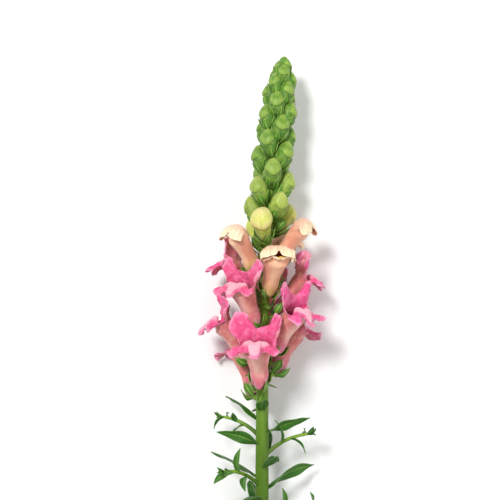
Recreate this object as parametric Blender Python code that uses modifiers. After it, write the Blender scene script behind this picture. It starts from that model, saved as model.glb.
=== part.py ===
"""One cut snapdragon stem, lying on a flat surface with its tip towards +Y.

The leafy stem is one green body: the stem, its leaves and side shoots, the bracts, the pedicels with
their sepals, and the green buds up to the tip. Each coloured corolla is a body of its own, seated in
its calyx with a small gap. All sizes are in metres.
"""

import math
import random

import bmesh
import bpy
import numpy as np
from mathutils import Vector

MM = 0.001

# Driving dimensions of the stem
STEM_LENGTH = 380 * MM
CUT_END_HEIGHT = 4.0 * MM
RACEME_HEIGHT = 27.0 * MM
TIP_SWAY = 12 * MM
SWAY_START = 0.42
RISE_END = 0.5
STEM_RADII = ((0.0, 3.9), (0.45, 3.6), (0.62, 2.9), (0.8, 1.9), (0.94, 1.1), (1.0, 0.5))
CENTRE_X = 3.6 * MM
CENTRE_Y = STEM_LENGTH / 2 + 2.4 * MM

# The raceme: its lowest node, the spacing of the nodes, and the spiral that they follow
FIRST_NODE = 193 * MM
LAST_NODE = STEM_LENGTH - 3 * MM
BLOOM_SPACINGS = (6.9 * MM, 5.6 * MM)
BUD_SPACINGS = (4.0 * MM, 1.7 * MM)
SPIRAL_STEP = 137.5
FIRST_AZIMUTH = -142.5
OPEN_BLOOMS = 9
OPENING_BLOOMS = 4
CLOSED_COLOURED_BUDS = 3

# A corolla at full size
TUBE_LENGTH = 25 * MM
MOUTH_SHARE = 0.5
PETAL_THICKNESS = 0.7 * MM
SEAT_GAP = 0.45 * MM
OPEN_RANGE = (0.92, 1.0)
RUFFLE_RANGE = (1.2, 1.8)
BLOOM_LEAN = 36

# The four opening corollas, from the lowest: how open each is and its size
OPENING_STAGES = ((0.38, 0.92), (0.28, 0.9), (0.2, 0.87), (0.12, 0.84))

# How far a flower's base stands off the stem and above its node
BLOOM_REACH = 3.4 * MM
BLOOM_RISE = 2.5 * MM
BUD_REACH = 2.0 * MM
BUD_RISE = 1.0 * MM

# Foliage
BLADE_THICKNESS = 0.7 * MM
FLOOR_SOFTNESS = 6 * MM
FLOOR_LIFT = 0.35 * MM
FIRST_LEAF = 72 * MM
LAST_LEAF = 187 * MM
LEAF_COUNT = 19
LEAF_LENGTHS = (44, 27)
LEAF_SLIMNESS = 0.25

# Side shoots: distance from the cut end in mm, azimuth and length in mm
SHOOTS = ((98, -80, 34), (122, 62, 36), (143, -48, 32), (160, 96, 30), (171, -105, 26))
SHOOT_RADII = (1.3 * MM, 1.2 * MM, 1.05 * MM, 0.95 * MM, 0.7 * MM)

SEED = 7

# Limits for tidying the fused body: the smallest volume that counts, and the angle that counts as flat
SMALLEST_BODY = 0.05 * MM**3
FLAT_ANGLE = math.radians(3)


def mix(a, b, share):
    return a + (b - a) * share


def smooth(low, high, x):
    share = min(1.0, max(0.0, (x - low) / (high - low)))
    return share * share * (3 - 2 * share)


def along(rows, x):
    """The value at x of a curve through (x, value) rows."""
    xs = [row[0] for row in rows]
    ys = [row[1] for row in rows]
    return float(np.interp(x, xs, ys))


# The stem's line and the frame of directions round it


def stem_point(t):
    """The stem's centre at distance t from the cut end."""
    share = t / STEM_LENGTH
    x = TIP_SWAY * max(0.0, (share - SWAY_START) / (1 - SWAY_START)) ** 2.4 - CENTRE_X
    z = mix(CUT_END_HEIGHT, RACEME_HEIGHT, smooth(0.0, RISE_END, share))
    return Vector((x, t - CENTRE_Y, z))


def stem_frame(t):
    """Unit vectors at t: along the stem, up and to the right."""
    step = 1 * MM
    forward = (stem_point(t + step) - stem_point(t - step)).normalized()
    right = forward.cross(Vector((0, 0, 1))).normalized()
    return forward, right.cross(forward), right


def stem_radius(t):
    return along(STEM_RADII, t / STEM_LENGTH) * MM


def outward(t, azimuth):
    """The direction out of the stem at an azimuth: 0 is up, 90 is to the right."""
    _, up, right = stem_frame(t)
    angle = math.radians(azimuth)
    return up * math.cos(angle) + right * math.sin(angle)


def pressed(point):
    """A point below the softness height is eased up, so that soft parts lie on the surface."""
    z = point.z
    if z < FLOOR_SOFTNESS:
        z = FLOOR_SOFTNESS * math.exp((z - FLOOR_SOFTNESS) / FLOOR_SOFTNESS)
    return Vector((point.x, point.y, z + FLOOR_LIFT))


def lowered(point):
    """A pressed point without the lift that is for the underside of a blade."""
    return pressed(point) - Vector((0, 0, FLOOR_LIFT))


# Objects


def clear_scene():
    for obj in list(bpy.data.objects):
        bpy.data.objects.remove(obj)


def new_collection(name):
    collection = bpy.data.collections.new(name)
    bpy.context.scene.collection.children.link(collection)
    return collection


def new_material(name, colour, roughness):
    material = bpy.data.materials.new(name)
    material.use_nodes = True
    shader = material.node_tree.nodes["Principled BSDF"]
    shader.inputs["Base Color"].default_value = (*colour, 1.0)
    shader.inputs["Roughness"].default_value = roughness
    shader.inputs["Metallic"].default_value = 0.0
    return material


def finish_mesh(name, bm, collection, material):
    bmesh.ops.remove_doubles(bm, verts=bm.verts, dist=0.002 * MM)
    bmesh.ops.recalc_face_normals(bm, faces=bm.faces)
    mesh = bpy.data.meshes.new(name)
    bm.to_mesh(mesh)
    bm.free()
    mesh.shade_smooth()
    mesh.materials.append(material)
    obj = bpy.data.objects.new(name, mesh)
    collection.objects.link(obj)
    return obj


def grid_of(columns, rows, place):
    """A grid whose point (i, j) is place(i, j), with all its faces split into triangles."""
    bm = bmesh.new()
    made = bmesh.ops.create_grid(bm, x_segments=columns, y_segments=rows, size=0.5)
    for vert in made["verts"]:
        i = round((vert.co.x + 0.5) * columns)
        j = round((vert.co.y + 0.5) * rows)
        vert.co = place(i, j)
    bmesh.ops.triangulate(bm, faces=bm.faces, quad_method="FIXED")
    return bm


def sheet(name, bm, collection, material, thickness):
    """A thin solid: an open surface thickened equally to both sides."""
    obj = finish_mesh(name, bm, collection, material)
    solidify = obj.modifiers.new("thickness", "SOLIDIFY")
    solidify.thickness = thickness
    solidify.offset = 0
    solidify.use_even_offset = False
    solidify.use_quality_normals = True
    return obj


def tube_along(name, points, radii, sides, collection, material):
    """A closed tube with a ring of corners round each centre."""
    bm = bmesh.new()
    rings = []
    for index, (centre, radius) in enumerate(zip(points, radii)):
        before = points[max(0, index - 1)]
        after = points[min(len(points) - 1, index + 1)]
        forward = (after - before).normalized()
        side = forward.cross(Vector((0.13, 0.08, 1))).normalized()
        lift = side.cross(forward)
        ring = []
        for step in range(sides):
            angle = 2 * math.pi * step / sides
            ring.append(bm.verts.new(centre + (side * math.cos(angle) + lift * math.sin(angle)) * radius))
        rings.append(ring)
    for low, high in zip(rings, rings[1:]):
        for step in range(sides):
            after = (step + 1) % sides
            bm.faces.new((low[step], low[after], high[after], high[step]))
    bm.faces.new(rings[0][::-1])
    bm.faces.new(rings[-1])
    bmesh.ops.triangulate(bm, faces=bm.faces)
    return finish_mesh(name, bm, collection, material)


# The corolla: a tube with a sac at its base, a two-lobed upper lip and a three-lobed lower lip

# Tube share, half width, depth to the back (dorsal) and to the front (ventral), in mm
TUBE_ROWS = (
    (0.00, 0.0, 0.0, 0.0),
    (0.06, 2.5, 2.3, 2.7),
    (0.20, 4.4, 3.5, 6.0),
    (0.50, 4.9, 3.9, 5.2),
    (0.80, 6.5, 4.4, 5.8),
    (1.00, 7.9, 4.6, 6.9),
)
SAC_DROP = 3.4 * MM

# Angle from the back in degrees, then two handles and the rim point of each petal line, as
# (side, back, up) from the mouth's centre in mm, for a full bloom
LIP_LINES = (
    (0, (0.0, 3.6, 4.0), (0.0, 5.5, 8.5), (0.0, 9.5, 11.5)),
    (22, (3.4, 3.4, 6.0), (6.0, 6.5, 13.5), (7.0, 13.5, 18.0)),
    (46, (7.0, 2.6, 5.5), (11.0, 5.5, 12.0), (14.0, 12.0, 16.0)),
    (68, (8.6, 1.6, 3.5), (12.8, 3.0, 7.5), (16.0, 7.0, 9.0)),
    (88, (7.8, 0.0, 2.0), (9.0, 0.0, 3.6), (9.6, -0.4, 4.6)),
    (112, (8.4, -2.4, 4.0), (12.0, -5.0, 6.5), (14.4, -9.0, 5.0)),
    (134, (6.4, -4.0, 6.5), (10.2, -9.0, 9.0), (11.4, -13.4, 4.0)),
    (154, (3.2, -5.0, 7.5), (5.2, -10.0, 8.0), (5.6, -11.6, 5.5)),
    (169, (1.4, -5.0, 8.0), (4.0, -11.0, 9.0), (4.4, -13.6, 4.5)),
    (180, (0.0, -5.0, 8.0), (0.0, -11.0, 9.5), (0.0, -14.2, 4.0)),
)

# The same lines in a bud that is about to open: the upper lip is a hood over the lower, and it
# lifts late, by this power of how open the flower is
HOOD_DELAY = 2.2
CLOSED_LINES = (
    (0, (0.0, 5.4, 5.0), (0.0, 3.6, 15.0), (0.0, -9.6, 6.6)),
    (46, (5.8, 4.0, 4.5), (8.2, 1.2, 12.0), (8.4, -9.8, 4.6)),
    (88, (8.2, -0.4, 3.0), (9.2, -2.6, 5.4), (9.8, -7.4, 1.8)),
    (134, (4.8, -5.2, 3.0), (4.4, -5.0, 5.0), (3.2, -4.4, 7.2)),
    (180, (0.0, -6.6, 3.0), (0.0, -5.6, 5.4), (0.0, -4.2, 8.0)),
)


def smooth_lines(lines, angle):
    """The three control points of the petal line at an angle, smooth from line to line."""
    rows = np.array([(row[0], *row[1], *row[2], *row[3]) for row in lines], float)
    mirror = np.array([1.0] + [-1.0, 1.0, 1.0] * 3)
    before, after = rows[1] * mirror, rows[-2] * mirror
    before[0] = -rows[1][0]
    after[0] = 360 - rows[-2][0]
    rows = np.vstack([before, rows, after])
    k = int(np.clip(np.searchsorted(rows[:, 0], angle) - 1, 1, len(rows) - 3))
    width = rows[k + 1, 0] - rows[k, 0]
    share = (angle - rows[k, 0]) / width
    slope_a = (rows[k + 1] - rows[k - 1]) / (rows[k + 1, 0] - rows[k - 1, 0]) * width
    slope_b = (rows[k + 2] - rows[k]) / (rows[k + 2, 0] - rows[k, 0]) * width
    s2, s3 = share * share, share**3
    made = (
        rows[k] * (2 * s3 - 3 * s2 + 1)
        + slope_a * (s3 - 2 * s2 + share)
        + rows[k + 1] * (3 * s2 - 2 * s3)
        + slope_b * (s3 - s2)
    )
    return made[1:].reshape(3, 3)


def tube_point(angle, share):
    """(side, back, up) on the tube, in mm, with the angle in degrees from the back."""
    turn = math.radians(angle)
    widths = [along([(row[0], row[column]) for row in TUBE_ROWS], share) for column in (1, 2, 3)]
    depth = widths[1] if math.cos(turn) > 0 else widths[2]
    ventral = max(0.0, -math.cos(turn)) ** 2
    drop = SAC_DROP / MM * ventral * math.exp(-(((share - 0.2) / 0.1) ** 2))
    return np.array([widths[0] * math.sin(turn), depth * math.cos(turn), share * TUBE_LENGTH / MM - drop])


def corolla_point(angle, v, bloom):
    """(side, back, up) on the corolla, in mm. The angle runs from the back, -180 to 180 degrees,
    and v from the base, 0, through the mouth to the petals' rims, 1."""
    if v <= MOUTH_SHARE:
        return tube_point(angle, v / MOUTH_SHARE)
    share = (v - MOUTH_SHARE) / (1 - MOUTH_SHARE)
    side = 1 if angle >= 0 else -1
    wide = smooth_lines(LIP_LINES, abs(angle))
    shut = smooth_lines(CLOSED_LINES, abs(angle))
    handles = mix(shut, wide, bloom["open"] ** mix(HOOD_DELAY, 1.2, abs(angle) / 180))
    handles = handles * np.array([side, 1, 1]) + np.array([0, 0, TUBE_LENGTH / MM])
    mouth = tube_point(angle, 1)
    rest = 1 - share
    point = (
        mouth * rest**3
        + handles[0] * 3 * rest * rest * share
        + handles[1] * 3 * rest * share * share
        + handles[2] * share**3
    )
    return point + palate_hump(angle, share, bloom) + ruffle(angle, share, bloom)


def palate_hump(angle, share, bloom):
    """The swelling of the lower lip that closes the mouth."""
    width = smooth(115, 150, abs(angle)) * (1 - 0.22 * math.exp(-(((180 - abs(angle)) / 9) ** 2)))
    height = 5.2 * math.exp(-(((share - 0.34) / 0.2) ** 2)) * width * mix(0.25, 1, bloom["open"])
    return np.array([0, height, 0.45 * height])


def ruffle(angle, share, bloom):
    """The waves of the petals, which grow towards the rim."""
    turn = math.radians(angle)
    depth = bloom["ruffle"] * share**2 * bloom["open"]
    wave = math.sin(5 * turn + bloom["phase"]) + 0.5 * math.sin(9 * turn + 2.3 * bloom["phase"])
    lift = math.cos(4 * turn + 1.7 * bloom["phase"])
    return depth * np.array([0.35 * lift, 0.8 * wave, 0.6 * lift])


# Placing flowers on the stem


def flower_frame(t, azimuth, lean, reach, rise):
    """The flower's base and its axes: side, back (towards the stem) and up the tube."""
    forward, _, _ = stem_frame(t)
    out = outward(t, azimuth)
    base = stem_point(t) + out * (stem_radius(t) + reach) + forward * rise
    angle = math.radians(lean)
    axis = forward * math.cos(angle) + out * math.sin(angle)
    back = forward * math.sin(angle) - out * math.cos(angle)
    return base, back.cross(axis), back, axis


def placed(local, frame, size):
    """A local point (side, back, up) in mm as a point on the stem, eased off the floor."""
    base, side, back, axis = frame
    return pressed(base + (side * local[0] + back * local[1] + axis * local[2]) * (size * MM))


def raceme_nodes():
    """(index, distance from the cut end, azimuth) of every node, from the lowest up."""
    nodes = []
    t = FIRST_NODE
    coloured = OPEN_BLOOMS + OPENING_BLOOMS + CLOSED_COLOURED_BUDS
    while t < LAST_NODE:
        azimuth = FIRST_AZIMUTH + SPIRAL_STEP * len(nodes)
        nodes.append((len(nodes), t, (azimuth + 180) % 360 - 180))
        if len(nodes) < coloured:
            t += mix(*BLOOM_SPACINGS, len(nodes) / coloured)
        else:
            t += mix(*BUD_SPACINGS, (t - nodes[coloured - 1][1]) / (STEM_LENGTH - nodes[coloured - 1][1]))
    return nodes


def flower_lean(azimuth, lean):
    """Flowers under the stem are pressed towards it by the surface."""
    under = smooth(95, 175, abs(azimuth))
    return lean - 8 * under


# Turns that keep neighbouring flowers clear of each other: node, then azimuth and lean in degrees
NUDGES = {
    0: (-7, 0),
    1: (-4, 0),
    2: (-8, 0),
    3: (7, 0),
    4: (3, 0),
    5: (-2, 7),
    7: (4, 0),
    8: (9, 2),
    10: (-6, 0),
    11: (16, 0),
    13: (0, 7),
    14: (0, 3),
    15: (0, 7),
}


def bloom_facts(index, t, azimuth, draw):
    """Size, lean and openness of the corolla at a node, by how far up the raceme it is."""
    if index < OPEN_BLOOMS:
        open_share = draw.uniform(*OPEN_RANGE)
        size = 1.0 - 0.012 * index
    else:
        open_share, size = OPENING_STAGES[index - OPEN_BLOOMS]
    lean = BLOOM_LEAN + draw.uniform(-2, 2)
    turn, tilt = NUDGES.get(index, (0, 0))
    return {
        "index": index,
        "t": t,
        "azimuth": azimuth + turn,
        "open": open_share,
        "size": size,
        "lean": flower_lean(azimuth, lean) + tilt,
        "ruffle": draw.uniform(*RUFFLE_RANGE),
        "phase": draw.uniform(0, 2 * math.pi),
    }


def bloom_frame(bloom):
    return flower_frame(bloom["t"], bloom["azimuth"], bloom["lean"], BLOOM_REACH, BLOOM_RISE)


COROLLA_ANGLES = (0, 24, 48, 70, 90, 112, 134, 153, 166, 180)
COROLLA_SHARES = (0.0, 0.03, 0.1, 0.28, 0.5, 0.66, 0.83, 1.0)


def build_corolla(bloom, collection, material):
    frame = bloom_frame(bloom)
    turns = [-a for a in COROLLA_ANGLES[:0:-1]] + list(COROLLA_ANGLES)

    def place(i, j):
        return placed(corolla_point(turns[i], COROLLA_SHARES[j], bloom), frame, bloom["size"])

    bm = grid_of(len(turns) - 1, len(COROLLA_SHARES) - 1, place)
    name = f"bloom_{bloom['index'] + 1:02d}"
    return sheet(name, bm, collection, material, PETAL_THICKNESS)


# Buds: a round-ended egg that bends towards the stem at its tip


# Distance below the tip in mm, then the length of a bud there in mm and its lean in degrees
BUD_ROWS = (
    (0, 7.0, 4),
    (5, 9.5, 10),
    (15, 13.0, 18),
    (30, 15.0, 24),
    (60, 16.0, 30),
    (88, 16.5, 37),
    (104, 23.0, 36),
    (120, 25.0, 36),
)


def bud_facts(index, t, azimuth):
    to_tip = (STEM_LENGTH - t) / MM
    length = along([(row[0], row[1]) for row in BUD_ROWS], to_tip)
    lean = along([(row[0], row[2]) for row in BUD_ROWS], to_tip)
    turn, tilt = NUDGES.get(index, (0, 0))
    return {
        "index": index,
        "t": t,
        "azimuth": azimuth + turn,
        "length": length,
        "width": length * mix(0.6, 0.57, smooth(60, 105, to_tip)),
        "lean": flower_lean(azimuth, lean) + tilt,
        "club": smooth(88, 96, to_tip),
    }


def bud_frame(bud):
    reach = BUD_REACH * smooth(8, 15, bud["length"])
    return flower_frame(bud["t"], bud["azimuth"], bud["lean"], reach, BUD_RISE)


# Share of a bud's length and share of its half width, for a green bud and for a coloured one
BUD_PROFILE = (
    (0.0, 0.3),
    (0.12, 0.62),
    (0.3, 0.93),
    (0.5, 1.0),
    (0.7, 0.92),
    (0.86, 0.66),
    (0.96, 0.3),
    (1.0, 0.0),
)
CLUB_PROFILE = (
    (0.0, 0.22),
    (0.12, 0.44),
    (0.3, 0.66),
    (0.5, 0.8),
    (0.68, 1.0),
    (0.82, 0.94),
    (0.94, 0.56),
    (1.0, 0.0),
)


def bud_point(turn, share, bud):
    """(side, back, up) on a bud, in mm: share runs from the base, 0, to the tip, 1."""
    radius = bud["width"] / 2 * mix(along(BUD_PROFILE, share), along(CLUB_PROFILE, share), bud["club"])
    hook = 0.14 * bud["length"] * share**2
    return np.array([radius * math.cos(turn), radius * math.sin(turn) + hook, bud["length"] * share])


CLOSED_BUD_SHARES = (0.0, 0.0, 0.12, 0.32, 0.54, 0.7, 0.84, 0.95, 1.0)
GREEN_BUD_SHARES = (-0.25, 0.08, 0.5, 0.85, 1.0)


def build_bud(name, bud, sides, shares, collection, material):
    frame = bud_frame(bud)

    def place(i, j):
        if j == 0 and shares[j] < 0:
            return stem_point(bud["t"])
        if j == 0:
            return placed((0, 0, 0), frame, 1.0)
        return placed(bud_point(2 * math.pi * i / sides, shares[j], bud), frame, 1.0)

    rings = len(shares) - 1
    return finish_mesh(name, grid_of(sides, rings, place), collection, material)


# Green parts


def leaf_width(share):
    """A lance-shaped blade: narrow at its stalk, widest before the middle, with a long point."""
    return (share**0.75) * (1 - share) ** 0.95 * 3.2


def build_blade(name, leaf, columns, rows, collection, material):
    """A leaf, bract or sepal that leaves the stem at a lean and curls, with its midrib as a keel."""
    forward, _, _ = stem_frame(leaf["t"])
    out = outward(leaf["t"], leaf["azimuth"])
    across = forward.cross(out)
    root = stem_point(leaf["t"]) + out * (stem_radius(leaf["t"]) * 0.3)
    step = leaf["length"] / rows
    spine = [(root, math.radians(leaf["lean"]))]
    for row in range(rows):
        point, angle = spine[-1]
        angle += math.radians(leaf["curl"]) / rows
        direction = forward * math.cos(angle) + out * math.sin(angle)
        direction += across * (leaf["swing"] * (row + 0.5) / rows)
        spine.append((point + direction.normalized() * step, angle))

    def place(i, j):
        point, angle = spine[j]
        up = out * math.cos(angle) - forward * math.sin(angle)
        share = j / rows
        turn = math.radians(leaf["twist"]) * smooth(0.0, 0.5, share)
        flat = across * math.cos(turn) + up * math.sin(turn)
        up = up * math.cos(turn) - across * math.sin(turn)
        offset = (i / columns - 0.5) * leaf["width"]
        offset *= leaf_width(share) if j else leaf["stalk"]
        fold = leaf["fold"] * abs(offset)
        wave = leaf["wave"] * offset * math.sin(7 * share + leaf["azimuth"])
        return pressed(point + flat * offset - up * (fold + wave))

    return sheet(name, grid_of(columns, rows, place), collection, material, BLADE_THICKNESS)


def blade(t, azimuth, lean, curl, length, width, **more):
    """The facts of a blade: where it leaves the stem, its angles in degrees and its size in mm."""
    facts = {"t": t, "azimuth": azimuth, "lean": lean, "curl": curl, "length": length * MM, "width": width * MM}
    facts.update({"swing": 0.0, "fold": -0.25, "wave": 0.0, "stalk": 0.3, "twist": 0.0})
    facts.update(more)
    return facts


def build_pedicel(name, t, frame, thickness, collection, material):
    """The flower's short stalk, widening to the disc that the corolla sits on."""
    base, _, _, axis = frame
    seat = base - axis * (SEAT_GAP + 0.5 * MM)
    start = stem_point(t)
    points = [start, pressed(seat - axis * 1.4 * MM), pressed(seat)]
    radii = [thickness * 0.75 * MM, thickness * 0.8 * MM, thickness * 1.4 * MM]
    return tube_along(name, points, radii, 5, collection, material)


def outside(surface, angle, share, clear):
    """The point of a surface pushed out along its normal by a clearance in mm."""
    around = surface(angle + 1, share) - surface(angle - 1, share)
    up = surface(angle, share + 0.01) - surface(angle, share - 0.01)
    normal = np.cross(up, around)
    return surface(angle, share) + normal * (clear / max(1e-9, float(np.linalg.norm(normal))))


# Azimuths of the five sepals round the flower, and the rows of each: share of its length, half
# width in degrees and distance outside the corolla in mm
SEPAL_AZIMUTHS = (0, 70, 138, -138, -70)
SEPAL_ROWS = ((0.5, 24, 1.9), (1.0, 3, 1.6))
CALYX_LENGTH = 7.2 * MM


def build_calyx(name, frame, size, surface, collection, material):
    """Five sepals that follow their corolla or bud just outside it."""
    for number, azimuth in enumerate(SEPAL_AZIMUTHS):
        turn = math.radians(azimuth)
        root = np.array([math.sin(turn), math.cos(turn), 0.0])
        aside = np.array([math.cos(turn), -math.sin(turn), 0.0])

        def place(i, j):
            if j == 0:
                local = root * 1.3 + aside * (0.6 * (i - 1)) + np.array([0, 0, -SEAT_GAP / MM - 0.9])
                return placed(local / size, frame, size)
            share, half_width, clear = SEPAL_ROWS[j - 1]
            return placed(outside(surface, azimuth + (i - 1) * half_width, share, clear / size), frame, size)

        sheet(f"{name}_{number}", grid_of(2, 2, place), collection, material, BLADE_THICKNESS)


def build_shoot(name, t, azimuth, length, collection, material, draw):
    """A side shoot from a leaf's armpit, with a few small leaves at its end."""
    forward, _, _ = stem_frame(t)
    out = outward(t, azimuth)
    start = stem_point(t)
    points = []
    for step in range(5):
        share = step / 4
        angle = math.radians(mix(38, 62, share))
        points.append(start + (forward * math.cos(angle) + out * math.sin(angle)) * (length * share))
    points = [lowered(p) for p in points]
    tube_along(f"{name}_axis", points, SHOOT_RADII, 5, collection, material)
    across = forward.cross(out)
    for number in range(4):
        share = (0.45, 0.65, 0.85, 0.96)[number]
        spot = share * 4
        low = min(3, int(spot))
        root = points[low].lerp(points[low + 1], spot - low)
        heading = (points[low + 1] - points[low]).normalized()
        turn = math.radians(SPIRAL_STEP * number + azimuth)
        sideways = (across * math.cos(turn) + heading.cross(across) * math.sin(turn)).normalized()
        leaf_length = draw.uniform(11, 16) * MM * (1.1 - 0.35 * share)
        build_small_leaf(f"{name}_leaf_{number}", root, heading, sideways, leaf_length, collection, material)


def build_small_leaf(name, root, heading, sideways, length, collection, material):
    across = heading.cross(sideways).normalized()

    def place(i, j):
        share = j / 2
        angle = math.radians(mix(35, 70, share))
        direction = heading * math.cos(angle) + sideways * math.sin(angle)
        width = length * (0.36 if j == 1 else 0.12 - 0.06 * j)
        keel = heading * math.sin(angle) - sideways * math.cos(angle)
        offset = (i / 2 - 0.5) * width
        return pressed(root + direction * (length * share) + across * offset + keel * (abs(offset) * 0.35))

    return sheet(name, grid_of(2, 2, place), collection, material, BLADE_THICKNESS)


def corolla_seat(angle, share):
    """The lower part of a corolla, which the calyx holds."""
    return tube_point((angle + 180) % 360 - 180, 0.05 + 0.25 * share)


def bud_seat(bud):
    """The lower part of a closed bud, which the calyx holds."""
    reach = min(0.42, CALYX_LENGTH / MM / bud["length"])
    return lambda angle, share: bud_point(math.radians(90 - angle), 0.05 + reach * share, bud)


def build_leafy_stem(collection, grown, material, blooms, closed_buds, green_buds, draw):
    rings = 22
    shares = [STEM_LENGTH * i / rings for i in range(rings + 1)]
    centres = [stem_point(t) for t in shares]
    stem = tube_along("leafy_stem", centres, [stem_radius(t) for t in shares], 10, collection, material)

    for bloom in blooms:
        frame = bloom_frame(bloom)
        name = f"flower_{bloom['index']}"
        build_pedicel(f"{name}_pedicel", bloom["t"], frame, 1.45, grown, material)
        build_calyx(f"{name}_calyx", frame, bloom["size"], corolla_seat, grown, material)
        facts = blade(bloom["t"] - 3.8 * MM, bloom["azimuth"], 92, 30, 10, 5)
        build_blade(f"{name}_bract", facts, 2, 2, grown, material)

    for bud in closed_buds:
        frame = bud_frame(bud)
        name = f"closed_{bud['index']}"
        build_pedicel(f"{name}_pedicel", bud["t"], frame, 1.3, grown, material)
        build_calyx(f"{name}_calyx", frame, 1.0, bud_seat(bud), grown, material)
        facts = blade(bud["t"] - 3.0 * MM, bud["azimuth"], 62, 16, 9.5, 5)
        build_blade(f"{name}_bract", facts, 2, 2, grown, material)

    for bud in green_buds:
        name = f"green_{bud['index']}"
        build_bud(f"{name}_bud", bud, 6, GREEN_BUD_SHARES, grown, material)

    for number, facts in enumerate(stem_leaves(draw)):
        build_blade(f"leaf_{number}", facts, 2, 5, grown, material)
    for number, (t, azimuth, length) in enumerate(SHOOTS):
        build_shoot(f"shoot_{number}", t * MM, azimuth, length * MM, grown, material, draw)

    union = stem.modifiers.new("grown together", "BOOLEAN")
    union.operation = "UNION"
    union.operand_type = "COLLECTION"
    union.collection = grown
    union.solver = "MANIFOLD"
    apply_modifiers(stem)
    for obj in list(grown.objects):
        bpy.data.objects.remove(obj)
    bpy.data.collections.remove(grown)
    fill_hollows(stem)
    return stem


def apply_modifiers(obj):
    graph = bpy.context.evaluated_depsgraph_get()
    mesh = bpy.data.meshes.new_from_object(obj.evaluated_get(graph))
    obj.modifiers.clear()
    obj.data = mesh


def fill_hollows(obj):
    """Fills the closed hollows that fusing leaves, whose walls face inwards, and drops any crumbs.
    Nearly flat groups of faces are merged before the surface is split into triangles."""
    bm = bmesh.new()
    bm.from_mesh(obj.data)
    bmesh.ops.dissolve_limit(bm, angle_limit=FLAT_ANGLE, verts=bm.verts, edges=bm.edges)
    bmesh.ops.triangulate(bm, faces=bm.faces)
    waiting = set(bm.faces)
    unwanted = []
    while waiting:
        island = {waiting.pop()}
        front = list(island)
        while front:
            face = front.pop()
            for edge in face.edges:
                if len(edge.link_faces) == 2:
                    beyond = [other for other in edge.link_faces if other not in island]
                    island.update(beyond)
                    front.extend(beyond)
        waiting -= island
        if volume_inside(island) < SMALLEST_BODY:
            unwanted.extend(island)
    bmesh.ops.delete(bm, geom=unwanted, context="FACES")
    bm.to_mesh(obj.data)
    bm.free()


def volume_inside(faces):
    """The signed volume inside a closed set of faces."""
    volume = 0.0
    for face in faces:
        corners = [vert.co for vert in face.verts]
        for second, third in zip(corners[1:], corners[2:]):
            volume += corners[0].dot(second.cross(third)) / 6
    return volume


def stem_leaves(draw):
    """The leaves on the stem below the flowers, spiralling as the flowers do."""
    leaves = []
    for number in range(LEAF_COUNT):
        share = number / (LEAF_COUNT - 1)
        t = mix(FIRST_LEAF, LAST_LEAF, share)
        azimuth = (40 + SPIRAL_STEP * number + 180) % 360 - 180
        length = mix(*LEAF_LENGTHS, share) * draw.uniform(0.9, 1.12)
        lean = draw.uniform(40, 52) + 14 * share
        curl = draw.uniform(18, 46)
        facts = blade(t, azimuth, lean, curl, length, length * LEAF_SLIMNESS)
        facts.update({"swing": draw.uniform(-0.35, 0.35), "wave": draw.uniform(-0.25, 0.25)})
        side = 1 if azimuth > 0 else -1
        facts["twist"] = side * draw.uniform(35, 75) * math.sin(math.radians(abs(azimuth)))
        leaves.append(facts)
    return leaves


def main():
    clear_scene()
    draw = random.Random(SEED)
    parts = new_collection("snapdragon_stem")
    grown = new_collection("grown_on_the_stem")
    green = new_material("green", (0.10, 0.27, 0.04), 0.5)
    pink = new_material("pink_petal", (0.78, 0.10, 0.30), 0.55)
    peach = new_material("peach_petal", (0.80, 0.42, 0.27), 0.55)
    lime = new_material("lime_bud", (0.52, 0.60, 0.14), 0.55)

    blooms, closed_buds, green_buds = [], [], []
    for index, t, azimuth in raceme_nodes():
        if index < OPEN_BLOOMS + OPENING_BLOOMS:
            blooms.append(bloom_facts(index, t, azimuth, draw))
        elif index < OPEN_BLOOMS + OPENING_BLOOMS + CLOSED_COLOURED_BUDS:
            closed_buds.append(bud_facts(index, t, azimuth))
        else:
            green_buds.append(bud_facts(index, t, azimuth))

    build_leafy_stem(parts, grown, green, blooms, closed_buds, green_buds, draw)
    for bloom in blooms:
        build_corolla(bloom, parts, pink if bloom["index"] < OPEN_BLOOMS else peach)
    for bud in closed_buds:
        build_bud(f"closed_bud_{bud['index'] + 1:02d}", bud, 10, CLOSED_BUD_SHARES, parts, lime)


main()
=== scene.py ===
"""The looks of a cut snapdragon stem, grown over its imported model.

Every node is replaced by finer pieces that follow the same form: ruffled two-lipped corollas, hooded
buds with their sepals and bracts, veined leaves, side shoots and a finely haired stem.
"""

import math
import random

import bpy
import numpy as np
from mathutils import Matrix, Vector, noise

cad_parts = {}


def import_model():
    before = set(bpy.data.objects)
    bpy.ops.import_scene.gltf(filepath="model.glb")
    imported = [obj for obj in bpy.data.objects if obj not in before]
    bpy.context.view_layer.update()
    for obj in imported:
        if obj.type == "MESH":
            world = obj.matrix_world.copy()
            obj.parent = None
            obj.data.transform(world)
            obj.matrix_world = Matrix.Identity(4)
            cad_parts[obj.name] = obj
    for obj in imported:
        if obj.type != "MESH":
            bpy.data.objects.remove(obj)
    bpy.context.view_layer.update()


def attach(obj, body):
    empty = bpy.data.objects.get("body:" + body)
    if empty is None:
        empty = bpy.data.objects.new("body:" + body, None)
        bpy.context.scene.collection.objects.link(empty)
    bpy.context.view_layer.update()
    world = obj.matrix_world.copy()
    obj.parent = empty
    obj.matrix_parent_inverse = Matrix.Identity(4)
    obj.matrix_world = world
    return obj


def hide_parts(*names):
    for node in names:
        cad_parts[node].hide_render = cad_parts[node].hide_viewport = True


MM = 0.001

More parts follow.
